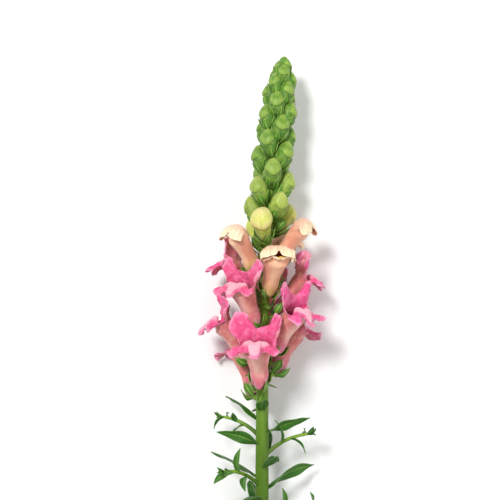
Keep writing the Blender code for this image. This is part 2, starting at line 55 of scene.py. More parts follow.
# The form's driving dimensions, the same as the part's
STEM_LENGTH = 380 * MM
CUT_END_HEIGHT = 4.0 * MM
RACEME_HEIGHT = 27.0 * MM
TIP_SWAY = 12 * MM
SWAY_START = 0.42
RISE_END = 0.5
STEM_RADII = ((0.0, 3.9), (0.45, 3.6), (0.62, 2.9), (0.8, 1.9), (0.94, 1.1), (1.0, 0.5))
CENTRE_X = 3.6 * MM
CENTRE_Y = STEM_LENGTH / 2 + 2.4 * MM
FIRST_NODE = 193 * MM
LAST_NODE = STEM_LENGTH - 3 * MM
BLOOM_SPACINGS = (6.9 * MM, 5.6 * MM)
BUD_SPACINGS = (4.0 * MM, 1.7 * MM)
SPIRAL_STEP = 137.5
FIRST_AZIMUTH = -142.5
OPEN_BLOOMS = 9
OPENING_BLOOMS = 4
CLOSED_COLOURED_BUDS = 3
TUBE_LENGTH = 25 * MM
SEAT_GAP = 0.45 * MM
OPEN_RANGE = (0.92, 1.0)
RUFFLE_RANGE = (1.2, 1.8)
BLOOM_LEAN = 36
OPENING_STAGES = ((0.38, 0.92), (0.28, 0.9), (0.2, 0.87), (0.12, 0.84))
BLOOM_REACH = 3.4 * MM
BLOOM_RISE = 2.5 * MM
BUD_REACH = 2.0 * MM
BUD_RISE = 1.0 * MM
FLOOR_SOFTNESS = 6 * MM
FLOOR_LIFT = 0.35 * MM
FIRST_LEAF = 72 * MM
LAST_LEAF = 187 * MM
LEAF_COUNT = 19
LEAF_LENGTHS = (44, 27)
LEAF_SLIMNESS = 0.25
SHOOTS = ((98, -80, 34), (122, 62, 36), (143, -48, 32), (160, 96, 30), (171, -105, 26))
SHOOT_RADII = (1.3, 1.2, 1.05, 0.95, 0.7)
SEED = 7

# What only the looks need
LEAST_HEIGHT = 0.12 * MM
HAIR_COUNT = 5200
HAIR_RADIUS = 0.035 * MM

# The camera: 1.2 m above the surface, with a field 280 mm wide at the height of the flowers
VIEW_CENTRE = (-10.3 * MM, 85 * MM)
VIEW_WIDTH = 280 * MM
VIEW_HEIGHT = 1.2
SENSOR_WIDTH = 36

# The stage, in metres: each light has a name, a place, a width and a power in watts
FLOOR_SIZE = 6
SKY_STRENGTH = 0.5
LIGHTS = (("key", (-0.36, 0.5, 1.05), 0.3, 12.0), ("fill", (0.75, -0.1, 0.8), 0.9, 3.5))
LIGHT_AIM = (0, 0.06, 0)


def mix(a, b, share):
    return a + (b - a) * share


def smooth(low, high, x):
    share = np.clip((np.asarray(x, float) - low) / (high - low), 0.0, 1.0)
    return share * share * (3 - 2 * share)


def bump(x, centre, width):
    return np.exp(-(((np.asarray(x, float) - centre) / width) ** 2))


def along(rows, x):
    """The value at x of a curve through (x, value) rows."""
    return float(np.interp(x, [row[0] for row in rows], [row[1] for row in rows]))


def curve(rows, column, x):
    """A smooth curve through one column of the rows, read at many places."""
    xs = np.array([row[0] for row in rows], float)
    ys = np.array([row[column] for row in rows], float)
    slopes = np.gradient(ys, xs)
    x = np.clip(np.asarray(x, float), xs[0], xs[-1])
    k = np.clip(np.searchsorted(xs, x, side="right") - 1, 0, len(xs) - 2)
    width = xs[k + 1] - xs[k]
    s = (x - xs[k]) / width
    return (
        ys[k] * (2 * s**3 - 3 * s**2 + 1)
        + slopes[k] * width * (s**3 - 2 * s**2 + s)
        + ys[k + 1] * (3 * s**2 - 2 * s**3)
        + slopes[k + 1] * width * (s**3 - s**2)
    )


# The stem's line and the frame of directions round it


def stem_point(t):
    """The stem's centre at distance t from the cut end."""
    share = t / STEM_LENGTH
    x = TIP_SWAY * max(0.0, (share - SWAY_START) / (1 - SWAY_START)) ** 2.4 - CENTRE_X
    z = mix(CUT_END_HEIGHT, RACEME_HEIGHT, float(smooth(0.0, RISE_END, share)))
    return Vector((x, t - CENTRE_Y, z))


def stem_frame(t):
    """Unit vectors at t: along the stem, up and to the right."""
    step = 1 * MM
    forward = (stem_point(t + step) - stem_point(t - step)).normalized()
    right = forward.cross(Vector((0, 0, 1))).normalized()
    return forward, right.cross(forward), right


def stem_radius(t):
    return along(STEM_RADII, t / STEM_LENGTH) * MM


def outward(t, azimuth):
    """The direction out of the stem at an azimuth: 0 is up, 90 is to the right."""
    _, up, right = stem_frame(t)
    angle = math.radians(azimuth)
    return up * math.cos(angle) + right * math.sin(angle)


def pressed(points, lift=FLOOR_LIFT):
    """Points below the softness height are eased up, so that soft parts lie on the surface."""
    points = np.array(points, float)
    z = points[..., 2]
    eased = FLOOR_SOFTNESS * np.exp((np.minimum(z, FLOOR_SOFTNESS) - FLOOR_SOFTNESS) / FLOOR_SOFTNESS)
    points[..., 2] = np.where(z < FLOOR_SOFTNESS, eased, z) + lift
    return points


# Meshes


def grid_normals(points, wrap):
    """Unit normals of a grid of points: across the columns, then along the rows."""
    if wrap:
        across = np.roll(points, -1, axis=1) - np.roll(points, 1, axis=1)
    else:
        across = np.gradient(points, axis=1)
    up = np.gradient(points, axis=0)
    normals = np.cross(across, up)
    return normals / np.maximum(np.linalg.norm(normals, axis=-1, keepdims=True), 1e-12)


class Shape:
    """Vertices, faces and point values that are gathered into one mesh."""

    def __init__(self):
        self.points = []
        self.values = {}
        self.faces = []
        self.spots = []
        self.sharp = []
        self.count = 0

    def add_points(self, points, values):
        """Adds points with their values and returns the number of the first."""
        points = np.asarray(points, float).reshape(-1, 3)
        first = self.count
        for name in set(self.values) | set(values):
            if name not in self.values:
                self.values[name] = [np.zeros(first)]
            value = np.asarray(values.get(name, 0.0), float).reshape(-1)
            self.values[name].append(np.array(np.broadcast_to(value, (len(points),))))
        self.points.append(points)
        self.count += len(points)
        return first

    def add_faces(self, faces, spots):
        """Adds faces, each with the (u, v) spot of each of its corners."""
        self.faces.extend(faces)
        self.spots.extend(spots)

    def solid(self, rings, values):
        """A closed solid through rings of points, with a point at the middle of each end."""
        rows, columns = rings.shape[:2]
        values = {name: np.broadcast_to(value, (rows, columns)) for name, value in values.items()}
        first = self.add_points(rings, values)
        ends = []
        for row in (0, rows - 1):
            end_values = {name: float(value[row].mean()) for name, value in values.items()}
            ends.append(self.add_points(rings[row].mean(axis=0), end_values))
        faces, spots = [], []
        for corners, spot in quads(rows, columns, columns):
            faces.append(tuple(first + corner for corner in corners))
            spots.append(spot)
        last = first + (rows - 1) * columns
        for column in range(columns):
            after = (column + 1) % columns
            u = (column + 0.5) / columns
            faces.append((first + after, first + column, ends[0]))
            spots.append(((u, 0),) * 3)
            faces.append((last + column, last + after, ends[1]))
            spots.append(((u, 1),) * 3)
        self.add_faces(*outwards(faces, spots, self.points))

    def sheet(self, points, thickness, values, wrap=False, inner=1):
        """A thin sheet with two faces: its inner face is on the side that the sign of inner says."""
        rows, columns = points.shape[:2]
        normals = grid_normals(points, wrap) * inner
        half = np.broadcast_to(np.asarray(thickness, float), (rows, columns))[..., None] * (MM / 2)
        values = {name: np.broadcast_to(value, (rows, columns)) for name, value in values.items()}
        inside = self.add_points(lifted(points + normals * half), {**values, "inner": 1.0})
        outside = self.add_points(lifted(points - normals * half), {**values, "inner": 0.0})
        faces, spots = [], []
        steps = columns if wrap else columns - 1
        for corners, spot in quads(rows, columns, steps):
            for first, way in ((inside, inner), (outside, -inner)):
                faces.append(turned([first + corner for corner in corners], way))
                spots.append(turned(spot, way))
        border = []
        last = (rows - 1) * columns
        for column in range(steps):
            after = (column + 1) % columns
            border.append((last + column, last + after, (column / steps, 1), ((column + 1) / steps, 1)))
            border.append((after, column, ((column + 1) / steps, 0), (column / steps, 0)))
        if not wrap:
            for row in range(rows - 1):
                low, high = row * columns, (row + 1) * columns
                end = columns - 1
                v = (row / (rows - 1), (row + 1) / (rows - 1))
                border.append((high, low, (0, v[1]), (0, v[0])))
                border.append((low + end, high + end, (1, v[0]), (1, v[1])))
        for a, b, spot_a, spot_b in border:
            faces.append(turned((inside + b, inside + a, outside + a, outside + b), -inner))
            spots.append(turned((spot_b, spot_a, spot_a, spot_b), -inner))
            self.sharp.append((inside + a, inside + b))
            self.sharp.append((outside + a, outside + b))
        self.add_faces(faces, spots)

    def build(self, name, material):
        """The mesh object, with its point values as named attributes and its spots as a UV map."""
        mesh = bpy.data.meshes.new(name)
        mesh.from_pydata(np.concatenate(self.points).tolist(), [], self.faces)
        uv = mesh.uv_layers.new(name="spots")
        uv.data.foreach_set("uv", np.array([x for spot in self.spots for xy in spot for x in xy], np.float32))
        for key, chunks in self.values.items():
            made = mesh.attributes.new(key, "FLOAT", "POINT")
            made.data.foreach_set("value", np.concatenate(chunks).astype(np.float32))
        if self.sharp:
            edges = np.zeros(len(mesh.edges) * 2, np.int64)
            mesh.edges.foreach_get("vertices", edges)
            edges = np.sort(edges.reshape(-1, 2), axis=1)
            wanted = np.sort(np.array(self.sharp), axis=1)
            is_sharp = np.isin(edges @ (self.count, 1), wanted @ (self.count, 1))
            mesh.attributes.new("sharp_edge", "BOOLEAN", "EDGE").data.foreach_set("value", is_sharp)
            mesh.polygons.foreach_set("use_smooth", [True] * len(mesh.polygons))
        else:
            mesh.shade_smooth()
        mesh.materials.append(material)
        obj = bpy.data.objects.new(name, mesh)
        bpy.context.scene.collection.objects.link(obj)
        return obj


def quads(rows, columns, steps):
    """The corners of each quad of a grid, and their (u, v) spots."""
    for row in range(rows - 1):
        for column in range(steps):
            a, b = row * columns + column, row * columns + (column + 1) % columns
            left, right = column / steps, (column + 1) / steps
            low, high = row / (rows - 1), (row + 1) / (rows - 1)
            yield (a, b, b + columns, a + columns), ((left, low), (right, low), (right, high), (left, high))


def turned(items, way):
    """The items as they are, or the other way round when way is negative."""
    return tuple(items) if way > 0 else tuple(items)[::-1]


def lifted(points):
    """Keeps points just above the surface that the stem lies on."""
    points = np.array(points, float)
    points[..., 2] = np.maximum(points[..., 2], LEAST_HEIGHT)
    return points


def outwards(faces, spots, points):
    """Turns all the faces over when they look inwards."""
    stacked = np.concatenate(points)
    volume = 0.0
    for face in faces:
        a = stacked[face[0]]
        for second, third in zip(face[1:], face[2:]):
            volume += float(np.dot(a, np.cross(stacked[second], stacked[third])))
    if volume < 0:
        faces = [face[::-1] for face in faces]
        spots = [spot[::-1] for spot in spots]
    return faces, spots


def tube_rings(centres, radii, columns):
    """Rings round a line of centres, kept from twisting."""
    centres = np.array([tuple(c) for c in centres], float)
    ahead = np.gradient(centres, axis=0)
    ahead /= np.linalg.norm(ahead, axis=1, keepdims=True)
    side = np.cross(ahead, np.array([0.13, 0.08, 1.0]))
    side /= np.linalg.norm(side, axis=1, keepdims=True)
    lift = np.cross(side, ahead)
    turns = np.arange(columns) * 2 * math.pi / columns
    reach = np.asarray(radii, float)
    reach = reach[:, None, None] if reach.ndim == 1 else reach[:, :, None]
    around = side[:, None] * np.cos(turns)[:, None] + lift[:, None] * np.sin(turns)[:, None]
    return centres[:, None] + around * reach


# The corolla's form, the same as the part's

TUBE_ROWS = (
    (0.00, 0.0, 0.0, 0.0),
    (0.06, 2.5, 2.3, 2.7),
    (0.20, 4.4, 3.5, 6.0),
    (0.50, 4.9, 3.9, 5.2),
    (0.80, 6.5, 4.4, 5.8),
    (1.00, 7.9, 4.6, 6.9),
)
SAC_DROP = 3.4
LIP_LINES = (
    (0, (0.0, 3.6, 4.0), (0.0, 5.5, 8.5), (0.0, 9.5, 11.5)),
    (22, (3.4, 3.4, 6.0), (6.0, 6.5, 13.5), (7.0, 13.5, 18.0)),
    (46, (7.0, 2.6, 5.5), (11.0, 5.5, 12.0), (14.0, 12.0, 16.0)),
    (68, (8.6, 1.6, 3.5), (12.8, 3.0, 7.5), (16.0, 7.0, 9.0)),
    (88, (7.8, 0.0, 2.0), (9.0, 0.0, 3.6), (9.6, -0.4, 4.6)),
    (112, (8.4, -2.4, 4.0), (12.0, -5.0, 6.5), (14.4, -9.0, 5.0)),
    (134, (6.4, -4.0, 6.5), (10.2, -9.0, 9.0), (11.4, -13.4, 4.0)),
    (154, (3.2, -5.0, 7.5), (5.2, -10.0, 8.0), (5.6, -11.6, 5.5)),
    (169, (1.4, -5.0, 8.0), (4.0, -11.0, 9.0), (4.4, -13.6, 4.5)),
    (180, (0.0, -5.0, 8.0), (0.0, -11.0, 9.5), (0.0, -14.2, 4.0)),
)
CLOSED_LINES = (
    (0, (0.0, 5.4, 5.0), (0.0, 3.6, 15.0), (0.0, -9.6, 6.6)),
    (46, (5.8, 4.0, 4.5), (8.2, 1.2, 12.0), (8.4, -9.8, 4.6)),
    (88, (8.2, -0.4, 3.0), (9.2, -2.6, 5.4), (9.8, -7.4, 1.8)),
    (134, (4.8, -5.2, 3.0), (4.4, -5.0, 5.0), (3.2, -4.4, 7.2)),
    (180, (0.0, -6.6, 3.0), (0.0, -5.6, 5.4), (0.0, -4.2, 8.0)),
)
HOOD_DELAY = 2.2
PALATE_HEIGHT = 5.2

# The lobes: the middle angle and half width of each in degrees, for one side of the flower
LOBES = ((44, 44), (121, 33), (180, 26))

# How far the lobes of the flower in front fold: by node, side and lobe
FRONT_FOLDS = {(1, -1, 0): 0.05, (1, 1, 0): 1.35, (1, -1, 1): 0.8, (1, 1, 1): 1.0, (1, -1, 2): 0.9}
COLUMNS = 132
TUBE_STEPS = 20
LIP_STEPS = 32
PETAL_THICKNESSES = (0.5, 0.28)


def smooth_lines(lines, angle):
    """The three control points of the petal line at an angle, smooth from line to line."""
    rows = np.array([(row[0], *row[1], *row[2], *row[3]) for row in lines], float)
    mirror = np.array([1.0] + [-1.0, 1.0, 1.0] * 3)
    before, after = rows[1] * mirror, rows[-2] * mirror
    before[0] = -rows[1][0]
    after[0] = 360 - rows[-2][0]
    rows = np.vstack([before, rows, after])
    k = int(np.clip(np.searchsorted(rows[:, 0], angle) - 1, 1, len(rows) - 3))
    width = rows[k + 1, 0] - rows[k, 0]
    share = (angle - rows[k, 0]) / width
    slope_a = (rows[k + 1] - rows[k - 1]) / (rows[k + 1, 0] - rows[k - 1, 0]) * width
    slope_b = (rows[k + 2] - rows[k]) / (rows[k + 2, 0] - rows[k, 0]) * width
    s2, s3 = share * share, share**3
    made = (
        rows[k] * (2 * s3 - 3 * s2 + 1)
        + slope_a * (s3 - 2 * s2 + share)
        + rows[k + 1] * (3 * s2 - 2 * s3)
        + slope_b * (s3 - s2)
    )
    return made[1:].reshape(3, 3)


def tube_points(angles, shares):
    """(side, back, up) on the tube in mm, for angles in degrees from the back and shares of its length."""
    angles, shares = np.broadcast_arrays(np.asarray(angles, float), np.asarray(shares, float))
    turn = np.radians(angles)
    wide = np.maximum(0, curve(TUBE_ROWS, 1, shares))
    back = np.maximum(0, curve(TUBE_ROWS, 2, shares))
    front = np.maximum(0, curve(TUBE_ROWS, 3, shares))
    depth = np.where(np.cos(turn) > 0, back, front)
    drop = SAC_DROP * np.maximum(0.0, -np.cos(turn)) ** 2 * bump(shares, 0.2, 0.1)
    up = shares * TUBE_LENGTH / MM - drop
    return np.stack([wide * np.sin(turn), depth * np.cos(turn), up], axis=-1)


def lobe_facts(angles):
    """Which lobe each angle is in, and how far across it that is, from -1 to 1."""
    number = np.zeros(len(angles), int)
    across = np.zeros(len(angles))
    for k, (middle, half) in enumerate(LOBES):
        inside = np.abs(np.abs(angles) - middle) <= half + 1e-9
        number[inside] = k
        across[inside] = ((np.abs(angles) - middle) / half)[inside]
    return number, np.clip(across, -1, 1)


def corolla_grid(bloom):
    """The corolla as rows of local points in mm, with the values that its material reads."""
    opening, phase = bloom["open"], bloom["phase"]
    angles = -180 + 360 * np.arange(COLUMNS) / COLUMNS
    folds = random.Random(SEED * 100 + bloom["index"])
    number, across = lobe_facts(angles)
    tube = tube_points(angles[None, :], (np.linspace(0.1, 1, TUBE_STEPS) ** 1.3)[:, None])

    sides = np.where(angles >= 0, 1.0, -1.0)
    wide = np.array([smooth_lines(LIP_LINES, abs(a)) for a in angles])
    shut = np.array([smooth_lines(CLOSED_LINES, abs(a)) for a in angles])
    opened = opening ** mix(HOOD_DELAY, 1.2, np.abs(angles) / 180)
    handles = mix(shut, wide, opened[:, None, None])
    handles[:, :, 0] *= sides[:, None]
    handles[:, :, 2] += TUBE_LENGTH / MM
    mouth = tube_points(angles, 1.0)

    # Each lobe has a rounded outline with a cleft on both sides
    cleft = 0.02 + 0.21 * opening**1.5
    reach = 1 - 0.08 * np.abs(across) ** 4 - cleft * bump(np.abs(across), 1.0, 0.14)
    share = np.linspace(0, 1, LIP_STEPS + 1)[1:, None] * reach[None, :]
    rest = 1 - share
    lips = (
        mouth[None] * (rest**3)[..., None]
        + handles[None, :, 0] * (3 * rest * rest * share)[..., None]
        + handles[None, :, 1] * (3 * rest * share * share)[..., None]
        + handles[None, :, 2] * (share**3)[..., None]
    )
    lips += palate(angles, share, bloom) + ruffle(angles, share, bloom)

    # Each lobe folds a little along its middle, some of them much
    for side in (-1, 1):
        for k, (middle, _) in enumerate(LOBES):
            fold = folds.choice((0.1, 0.35, 0.9))
            fold = FRONT_FOLDS.get((bloom["index"], side, k), fold) * opening**2
            if k == 2 and side == 1:
                continue
            member = (number == k) & ((sides == side) | (k == 2))
            centre = lips[:, [int(np.argmin(np.abs(angles - side * middle))) if k < 2 else 0]]
            pull = (fold * 0.55 * share**2)[:, member, None]
            lips[:, member] = mix(lips[:, member], np.broadcast_to(centre, lips.shape)[:, member], pull)

    local = np.concatenate([tube, lips])
    blank = np.zeros_like(tube[..., 0])
    lip_share = np.concatenate([blank, share])
    tube_share = np.concatenate([tube[..., 2] / (TUBE_LENGTH / MM), np.ones_like(share)])

    # Fine ruffles and crumples, out of the surface
    normals = grid_normals(local, True)
    turn = np.radians(angles)[None, :]
    waves = np.sin(13 * turn + 3 * phase) + 0.7 * np.sin(19 * turn + 5 * phase + 4 * lip_share)
    waves = waves + 0.5 * np.sin(29 * turn + 7 * phase)
    fine = 0.55 * opening * lip_share**3 * waves
    strength = np.array([folds.uniform(-0.6, 2.2) for _ in range(6)])[number + 3 * (sides > 0)]
    cup = np.array([2.9, 2.1, 1.5])[number] * (np.abs(across) ** 1.3 - 0.42) * strength
    fine -= cup[None, :] * lip_share**2 * opening
    creases = np.sin(2.5 * turn + phase + 6 * lip_share) * np.cos(4 * turn - 2 * phase + 3 * lip_share)
    fine += 1.3 * creases * lip_share**1.5 * mix(0.4, 1.0, opening)
    crumple = noise_grid(local, 0.22, (phase, 0, 9 * phase))
    crumple += 0.5 * noise_grid(local, 0.55, (0, phase, 4 * phase))
    fine += crumple * (0.25 + 0.9 * lip_share)
    local = local + normals * fine[..., None]
    swelling = palate(angles, share, {"open": 1.0})[..., 1] / PALATE_HEIGHT
    pale_lobe = 0.9 * bump(np.abs(angles), 180, 19) * smooth(0.2, 0.4, share) * smooth(1.02, 0.8, share)
    values = {
        "lip": lip_share,
        "tube": tube_share,
        "front": np.abs(angles) / 180,
        "palate": np.concatenate([blank, swelling + pale_lobe]),
        "spot": bump(np.abs(angles), 180, 30) * bump(lip_share, 0.14, 0.1),
        "tone": folds.uniform(0, 1),
    }
    return local, values


def noise_grid(points, scale, shift):
    """Noise at each point of a grid."""
    shift = Vector(shift)
    return np.array([[noise.noise(Vector(point) * scale + shift) for point in row] for row in points])


def palate(angles, share, bloom):
    """The swelling of the lower lip that closes the mouth."""
    width = smooth(115, 150, np.abs(angles)) * (1 - 0.22 * bump(np.abs(angles), 180, 9))
    height = PALATE_HEIGHT * bump(share, 0.34, 0.2) * width * mix(0.25, 1, bloom["open"])
    return np.stack([0 * height, height, 0.45 * height], axis=-1)


def ruffle(angles, share, bloom):
    """The waves of the petals, which grow towards the rim."""
    turn = np.radians(angles)
    depth = bloom["ruffle"] * share**2 * bloom["open"]
    wave = np.sin(5 * turn + bloom["phase"]) + 0.5 * np.sin(9 * turn + 2.3 * bloom["phase"])
    lift = np.cos(4 * turn + 1.7 * bloom["phase"])
    return np.stack([depth * 0.35 * lift, depth * 0.8 * wave, depth * 0.6 * lift], axis=-1)


# Placing flowers on the stem, as the part does


def flower_frame(t, azimuth, lean, reach, rise):
    """The flower's base and its axes: side, back (towards the stem) and up the tube."""
    forward, _, _ = stem_frame(t)
    out = outward(t, azimuth)
    base = stem_point(t) + out * (stem_radius(t) + reach) + forward * rise
    angle = math.radians(lean)
    axis = forward * math.cos(angle) + out * math.sin(angle)
    back = forward * math.sin(angle) - out * math.cos(angle)
    return base, back.cross(axis), back, axis


def placed(local, frame, size):
    """Local points (side, back, up) in mm as points on the stem, eased off the floor."""
    base, side, back, axis = (np.array(v) for v in frame)
    return pressed(base + (np.asarray(local, float) @ np.array([side, back, axis])) * (size * MM))


def raceme_nodes():
    """(index, distance from the cut end, azimuth) of every node, from the lowest up."""
    nodes = []
    t = FIRST_NODE
    coloured = OPEN_BLOOMS + OPENING_BLOOMS + CLOSED_COLOURED_BUDS
    while t < LAST_NODE:
        azimuth = FIRST_AZIMUTH + SPIRAL_STEP * len(nodes)
        nodes.append((len(nodes), t, (azimuth + 180) % 360 - 180))
        if len(nodes) < coloured:
            t += mix(*BLOOM_SPACINGS, len(nodes) / coloured)
        else:
            t += mix(*BUD_SPACINGS, (t - nodes[coloured - 1][1]) / (STEM_LENGTH - nodes[coloured - 1][1]))
    return nodes


def flower_lean(azimuth, lean):
    """Flowers under the stem are pressed towards it by the surface."""
    return lean - 8 * float(smooth(95, 175, abs(azimuth)))


# The turn and tilt, in degrees, that brings single flowers to where the photo has them
NUDGES = {
    0: (-7, 0), 1: (-4, 0), 2: (-8, 0), 3: (7, 0), 4: (3, 0), 5: (-2, 7), 7: (4, 0),
    8: (9, 2), 10: (-6, 0), 11: (16, 0), 13: (0, 7), 14: (0, 3), 15: (0, 7),
}


def bloom_facts(index, t, azimuth, draw):
    if index < OPEN_BLOOMS:
        open_share = draw.uniform(*OPEN_RANGE)
        size = 1.0 - 0.012 * index
    else:
        open_share, size = OPENING_STAGES[index - OPEN_BLOOMS]
    lean = BLOOM_LEAN + draw.uniform(-2, 2)
    turn, tilt = NUDGES.get(index, (0, 0))
    return {
        "index": index,
        "t": t,
        "azimuth": azimuth + turn,
        "open": open_share,
        "size": size,
        "lean": flower_lean(azimuth, lean) + tilt,
        "ruffle": draw.uniform(*RUFFLE_RANGE),
        "phase": draw.uniform(0, 2 * math.pi),
    }


def bloom_frame(bloom):
    return flower_frame(bloom["t"], bloom["azimuth"], bloom["lean"], BLOOM_REACH, BLOOM_RISE)


# A bud's distance below the tip and its length, both in mm, and its lean in degrees
BUD_ROWS = (
    (0, 7.0, 4), (5, 9.5, 10), (15, 13.0, 18), (30, 15.0, 24),
    (60, 16.0, 30), (88, 16.5, 37), (104, 23.0, 36), (120, 25.0, 36),
)


def bud_facts(index, t, azimuth):
    to_tip = (STEM_LENGTH - t) / MM
    length = along([(row[0], row[1]) for row in BUD_ROWS], to_tip)
    lean = along([(row[0], row[2]) for row in BUD_ROWS], to_tip)
    turn, tilt = NUDGES.get(index, (0, 0))
    return {
        "index": index,
        "t": t,
        "azimuth": azimuth + turn,
        "length": length,
        "width": length * mix(0.6, 0.57, float(smooth(60, 105, to_tip))),
        "lean": flower_lean(azimuth, lean) + tilt,
        "club": float(smooth(88, 96, to_tip)),
    }


def bud_frame(bud):
    reach = BUD_REACH * float(smooth(8, 15, bud["length"]))
    return flower_frame(bud["t"], bud["azimuth"], bud["lean"], reach, BUD_RISE)


# Shares of a bud's length and the radius there: of an egg-shaped bud, and of a club-shaped one
BUD_PROFILE = (
    (0.0, 0.3), (0.12, 0.62), (0.3, 0.93), (0.5, 1.0),
    (0.7, 0.92), (0.86, 0.66), (0.96, 0.3), (1.0, 0.0),
)
CLUB_PROFILE = (
    (0.0, 0.22), (0.12, 0.44), (0.3, 0.66), (0.5, 0.8),
    (0.68, 1.0), (0.82, 0.94), (0.94, 0.56), (1.0, 0.0),
)
CALYX_LENGTH = 7.2 * MM


def bud_points(turns, shares, bud):
    """(side, back, up) on a bud in mm: shares run from the base, 0, to the tip, 1."""
    turns, shares = np.broadcast_arrays(np.asarray(turns, float), np.asarray(shares, float))
    profile = mix(curve(BUD_PROFILE, 1, shares), curve(CLUB_PROFILE, 1, shares), bud["club"])
    radius = bud["width"] / 2 * np.maximum(0, profile)
    hook = 0.14 * bud["length"] * shares**2
    return np.stack([radius * np.cos(turns), radius * np.sin(turns) + hook, bud["length"] * shares], axis=-1)


# Green parts


# The side veins of a leaf: radians from its base to its tip, and how far they slant to its edge
VEIN_PITCH = 26.0
VEIN_SLANT = 3.2


def leaf_width(share):
    """A leaf's width at a share of its length, as a share of its greatest width."""
    return (share**0.75) * (1 - share) ** 0.95 * 3.2


PLAIN_BLADE = {"swing": 0.0, "fold": -0.25, "wave": 0.0, "stalk": 0.3, "twist": 0.0, "tone": 0.5}


def blade(t, azimuth, lean, curl, length, width, **more):
    """The facts of a blade: where it leaves the stem, its angles in degrees and its size in mm."""
    facts = {"t": t, "azimuth": azimuth, "lean": lean, "curl": curl}
    facts.update(length=length * MM, width=width * MM)
    return {**PLAIN_BLADE, **facts, **more}


def add_blade(shape, leaf, columns, rows, thickness=0.4, veins=0.0):
    """A leaf or bract along its curling spine, with its midrib as a keel and its edge gently waved."""
    forward, _, _ = stem_frame(leaf["t"])
    out = outward(leaf["t"], leaf["azimuth"])
    across = forward.cross(out)
    root = stem_point(leaf["t"]) + out * (stem_radius(leaf["t"]) * 0.3)
    step = leaf["length"] / rows
    point, angle = root, math.radians(leaf["lean"])
    spine = [(point, angle)]
    for row in range(rows):
        angle += math.radians(leaf["curl"]) / rows
        direction = forward * math.cos(angle) + out * math.sin(angle)
        direction += across * (leaf["swing"] * (row + 0.5) / rows)
        point = point + direction.normalized() * step
        spine.append((point, angle))
    grid = np.zeros((rows + 1, columns + 1, 3))
    places = [2 * i / columns - 1 for i in range(columns + 1)]
    relief = veins * MM
    for j, (point, angle) in enumerate(spine):
        up = out * math.cos(angle) - forward * math.sin(angle)
        share = j / rows
        turn = math.radians(leaf["twist"]) * float(smooth(0.0, 0.5, share))
        flat = across * math.cos(turn) + up * math.sin(turn)
        up = up * math.cos(turn) - across * math.sin(turn)
        half = leaf["width"] * max(leaf_width(share), leaf["stalk"] * (1 - share) ** 6, 0.03)
        for i, place in enumerate(places):
            offset = place * half / 2
            side = abs(place)
            lift = leaf["fold"] * abs(offset) + leaf["wave"] * offset * math.sin(7 * share + leaf["azimuth"])
            lift += relief * math.cos(VEIN_PITCH * share - VEIN_SLANT * side) * side * (1 - side**3)
            lift += relief * 2.0 * math.exp(-((place / 0.16) ** 2))
            lift += relief * 3.0 * side**3 * math.sin(15 * share + 2 * leaf["azimuth"] + 2 * place)
            grid[j, i] = point + flat * offset - up * lift
    edge = np.abs([places])
    values = {"edge": edge, "reach": np.linspace(0, 1, rows + 1)[:, None], "tone": leaf["tone"]}
    shape.sheet(pressed(grid), thickness * (1 - 0.5 * edge), values, inner=-1)


def outside(surface, angles, shares, clear):
    """Points of a surface pushed out along its normals by a clearance in mm."""
    around = surface(angles + 1, shares) - surface(angles - 1, shares)
    up = surface(angles, shares + 0.01) - surface(angles, shares - 0.01)
    normals = np.cross(up, around)
    normals /= np.maximum(np.linalg.norm(normals, axis=-1, keepdims=True), 1e-9)
    return surface(angles, shares) + normals * np.asarray(clear, float)[..., None]


SEPAL_AZIMUTHS = (0, 70, 138, -138, -70)
THIN_LEAF = 0.35


def add_calyx(shape, frame, size, surface, tone, clear=(1.9, 1.6), spread=24, columns=6, rows=12):
    """Five pointed sepals that follow their corolla or bud just outside it."""
    place = np.linspace(-1, 1, columns + 1)[None, :]
    shares = np.linspace(0.0, 1, rows + 1)[:, None]
    taper = np.maximum(1 - np.clip((shares - 0.45) / 0.55, 0, 1) ** 1.7, 0.04)
    half = spread * (0.7 + 0.3 * smooth(0, 0.5, shares)) * taper
    for number, azimuth in enumerate(SEPAL_AZIMUTHS):
        turn = math.radians(azimuth)
        root = np.array([math.sin(turn), math.cos(turn), 0.0])
        aside = np.array([math.cos(turn), -math.sin(turn), 0.0])
        cup = mix(*clear, smooth(0.5, 1, shares)) + 0.25 * place**2
        cup = cup + 0.5 * smooth(0.7, 1, shares) * (1 if number % 2 else 0.3)
        body = outside(surface, azimuth + place * half, shares + 0 * place, cup / size)
        low = root * 1.3 + np.array([0, 0, -SEAT_GAP / MM - 0.9]) + aside * (0.6 * place)[..., None]
        local = mix(low / size, body, smooth(0, 0.42, shares)[..., None])
        values = {"edge": np.abs(place), "reach": shares, "tone": tone + 0.05 * number}
        shape.sheet(placed(local, frame, size), THIN_LEAF, values)


def corolla_seat(angles, shares):
    """The lower part of a corolla, which the calyx holds."""
    return tube_points((np.asarray(angles) + 180) % 360 - 180, 0.05 + 0.25 * shares)


def bud_seat(bud, reach=0.42):
    """The lower part of a closed bud, which the calyx holds."""
    reach = min(reach, CALYX_LENGTH / MM / bud["length"])
    return lambda angles, shares: bud_points(np.radians(90 - angles), 0.05 + reach * shares, bud)


def add_pedicel(shape, t, frame, thickness, tone):
    """The flower's short stalk, widening to the disc that the corolla sits on."""
    base, _, _, axis = frame
    seat = base - axis * (SEAT_GAP + 0.5 * MM)
    start = np.array(stem_point(t))
    neck, end = pressed([tuple(seat - axis * 1.4 * MM), tuple(seat)])
    bend = start + (neck - start) * 0.9
    shares = np.linspace(0, 1, 12)
    centres = [start * (1 - s) ** 2 + bend * 2 * s * (1 - s) + end * s**2 for s in shares]
    radii = thickness * MM * (0.75 + 0.65 * smooth(0.55, 0.95, shares))
    shape.solid(tube_rings(centres, radii, 12), {"reach": shares[:, None], "tone": tone})


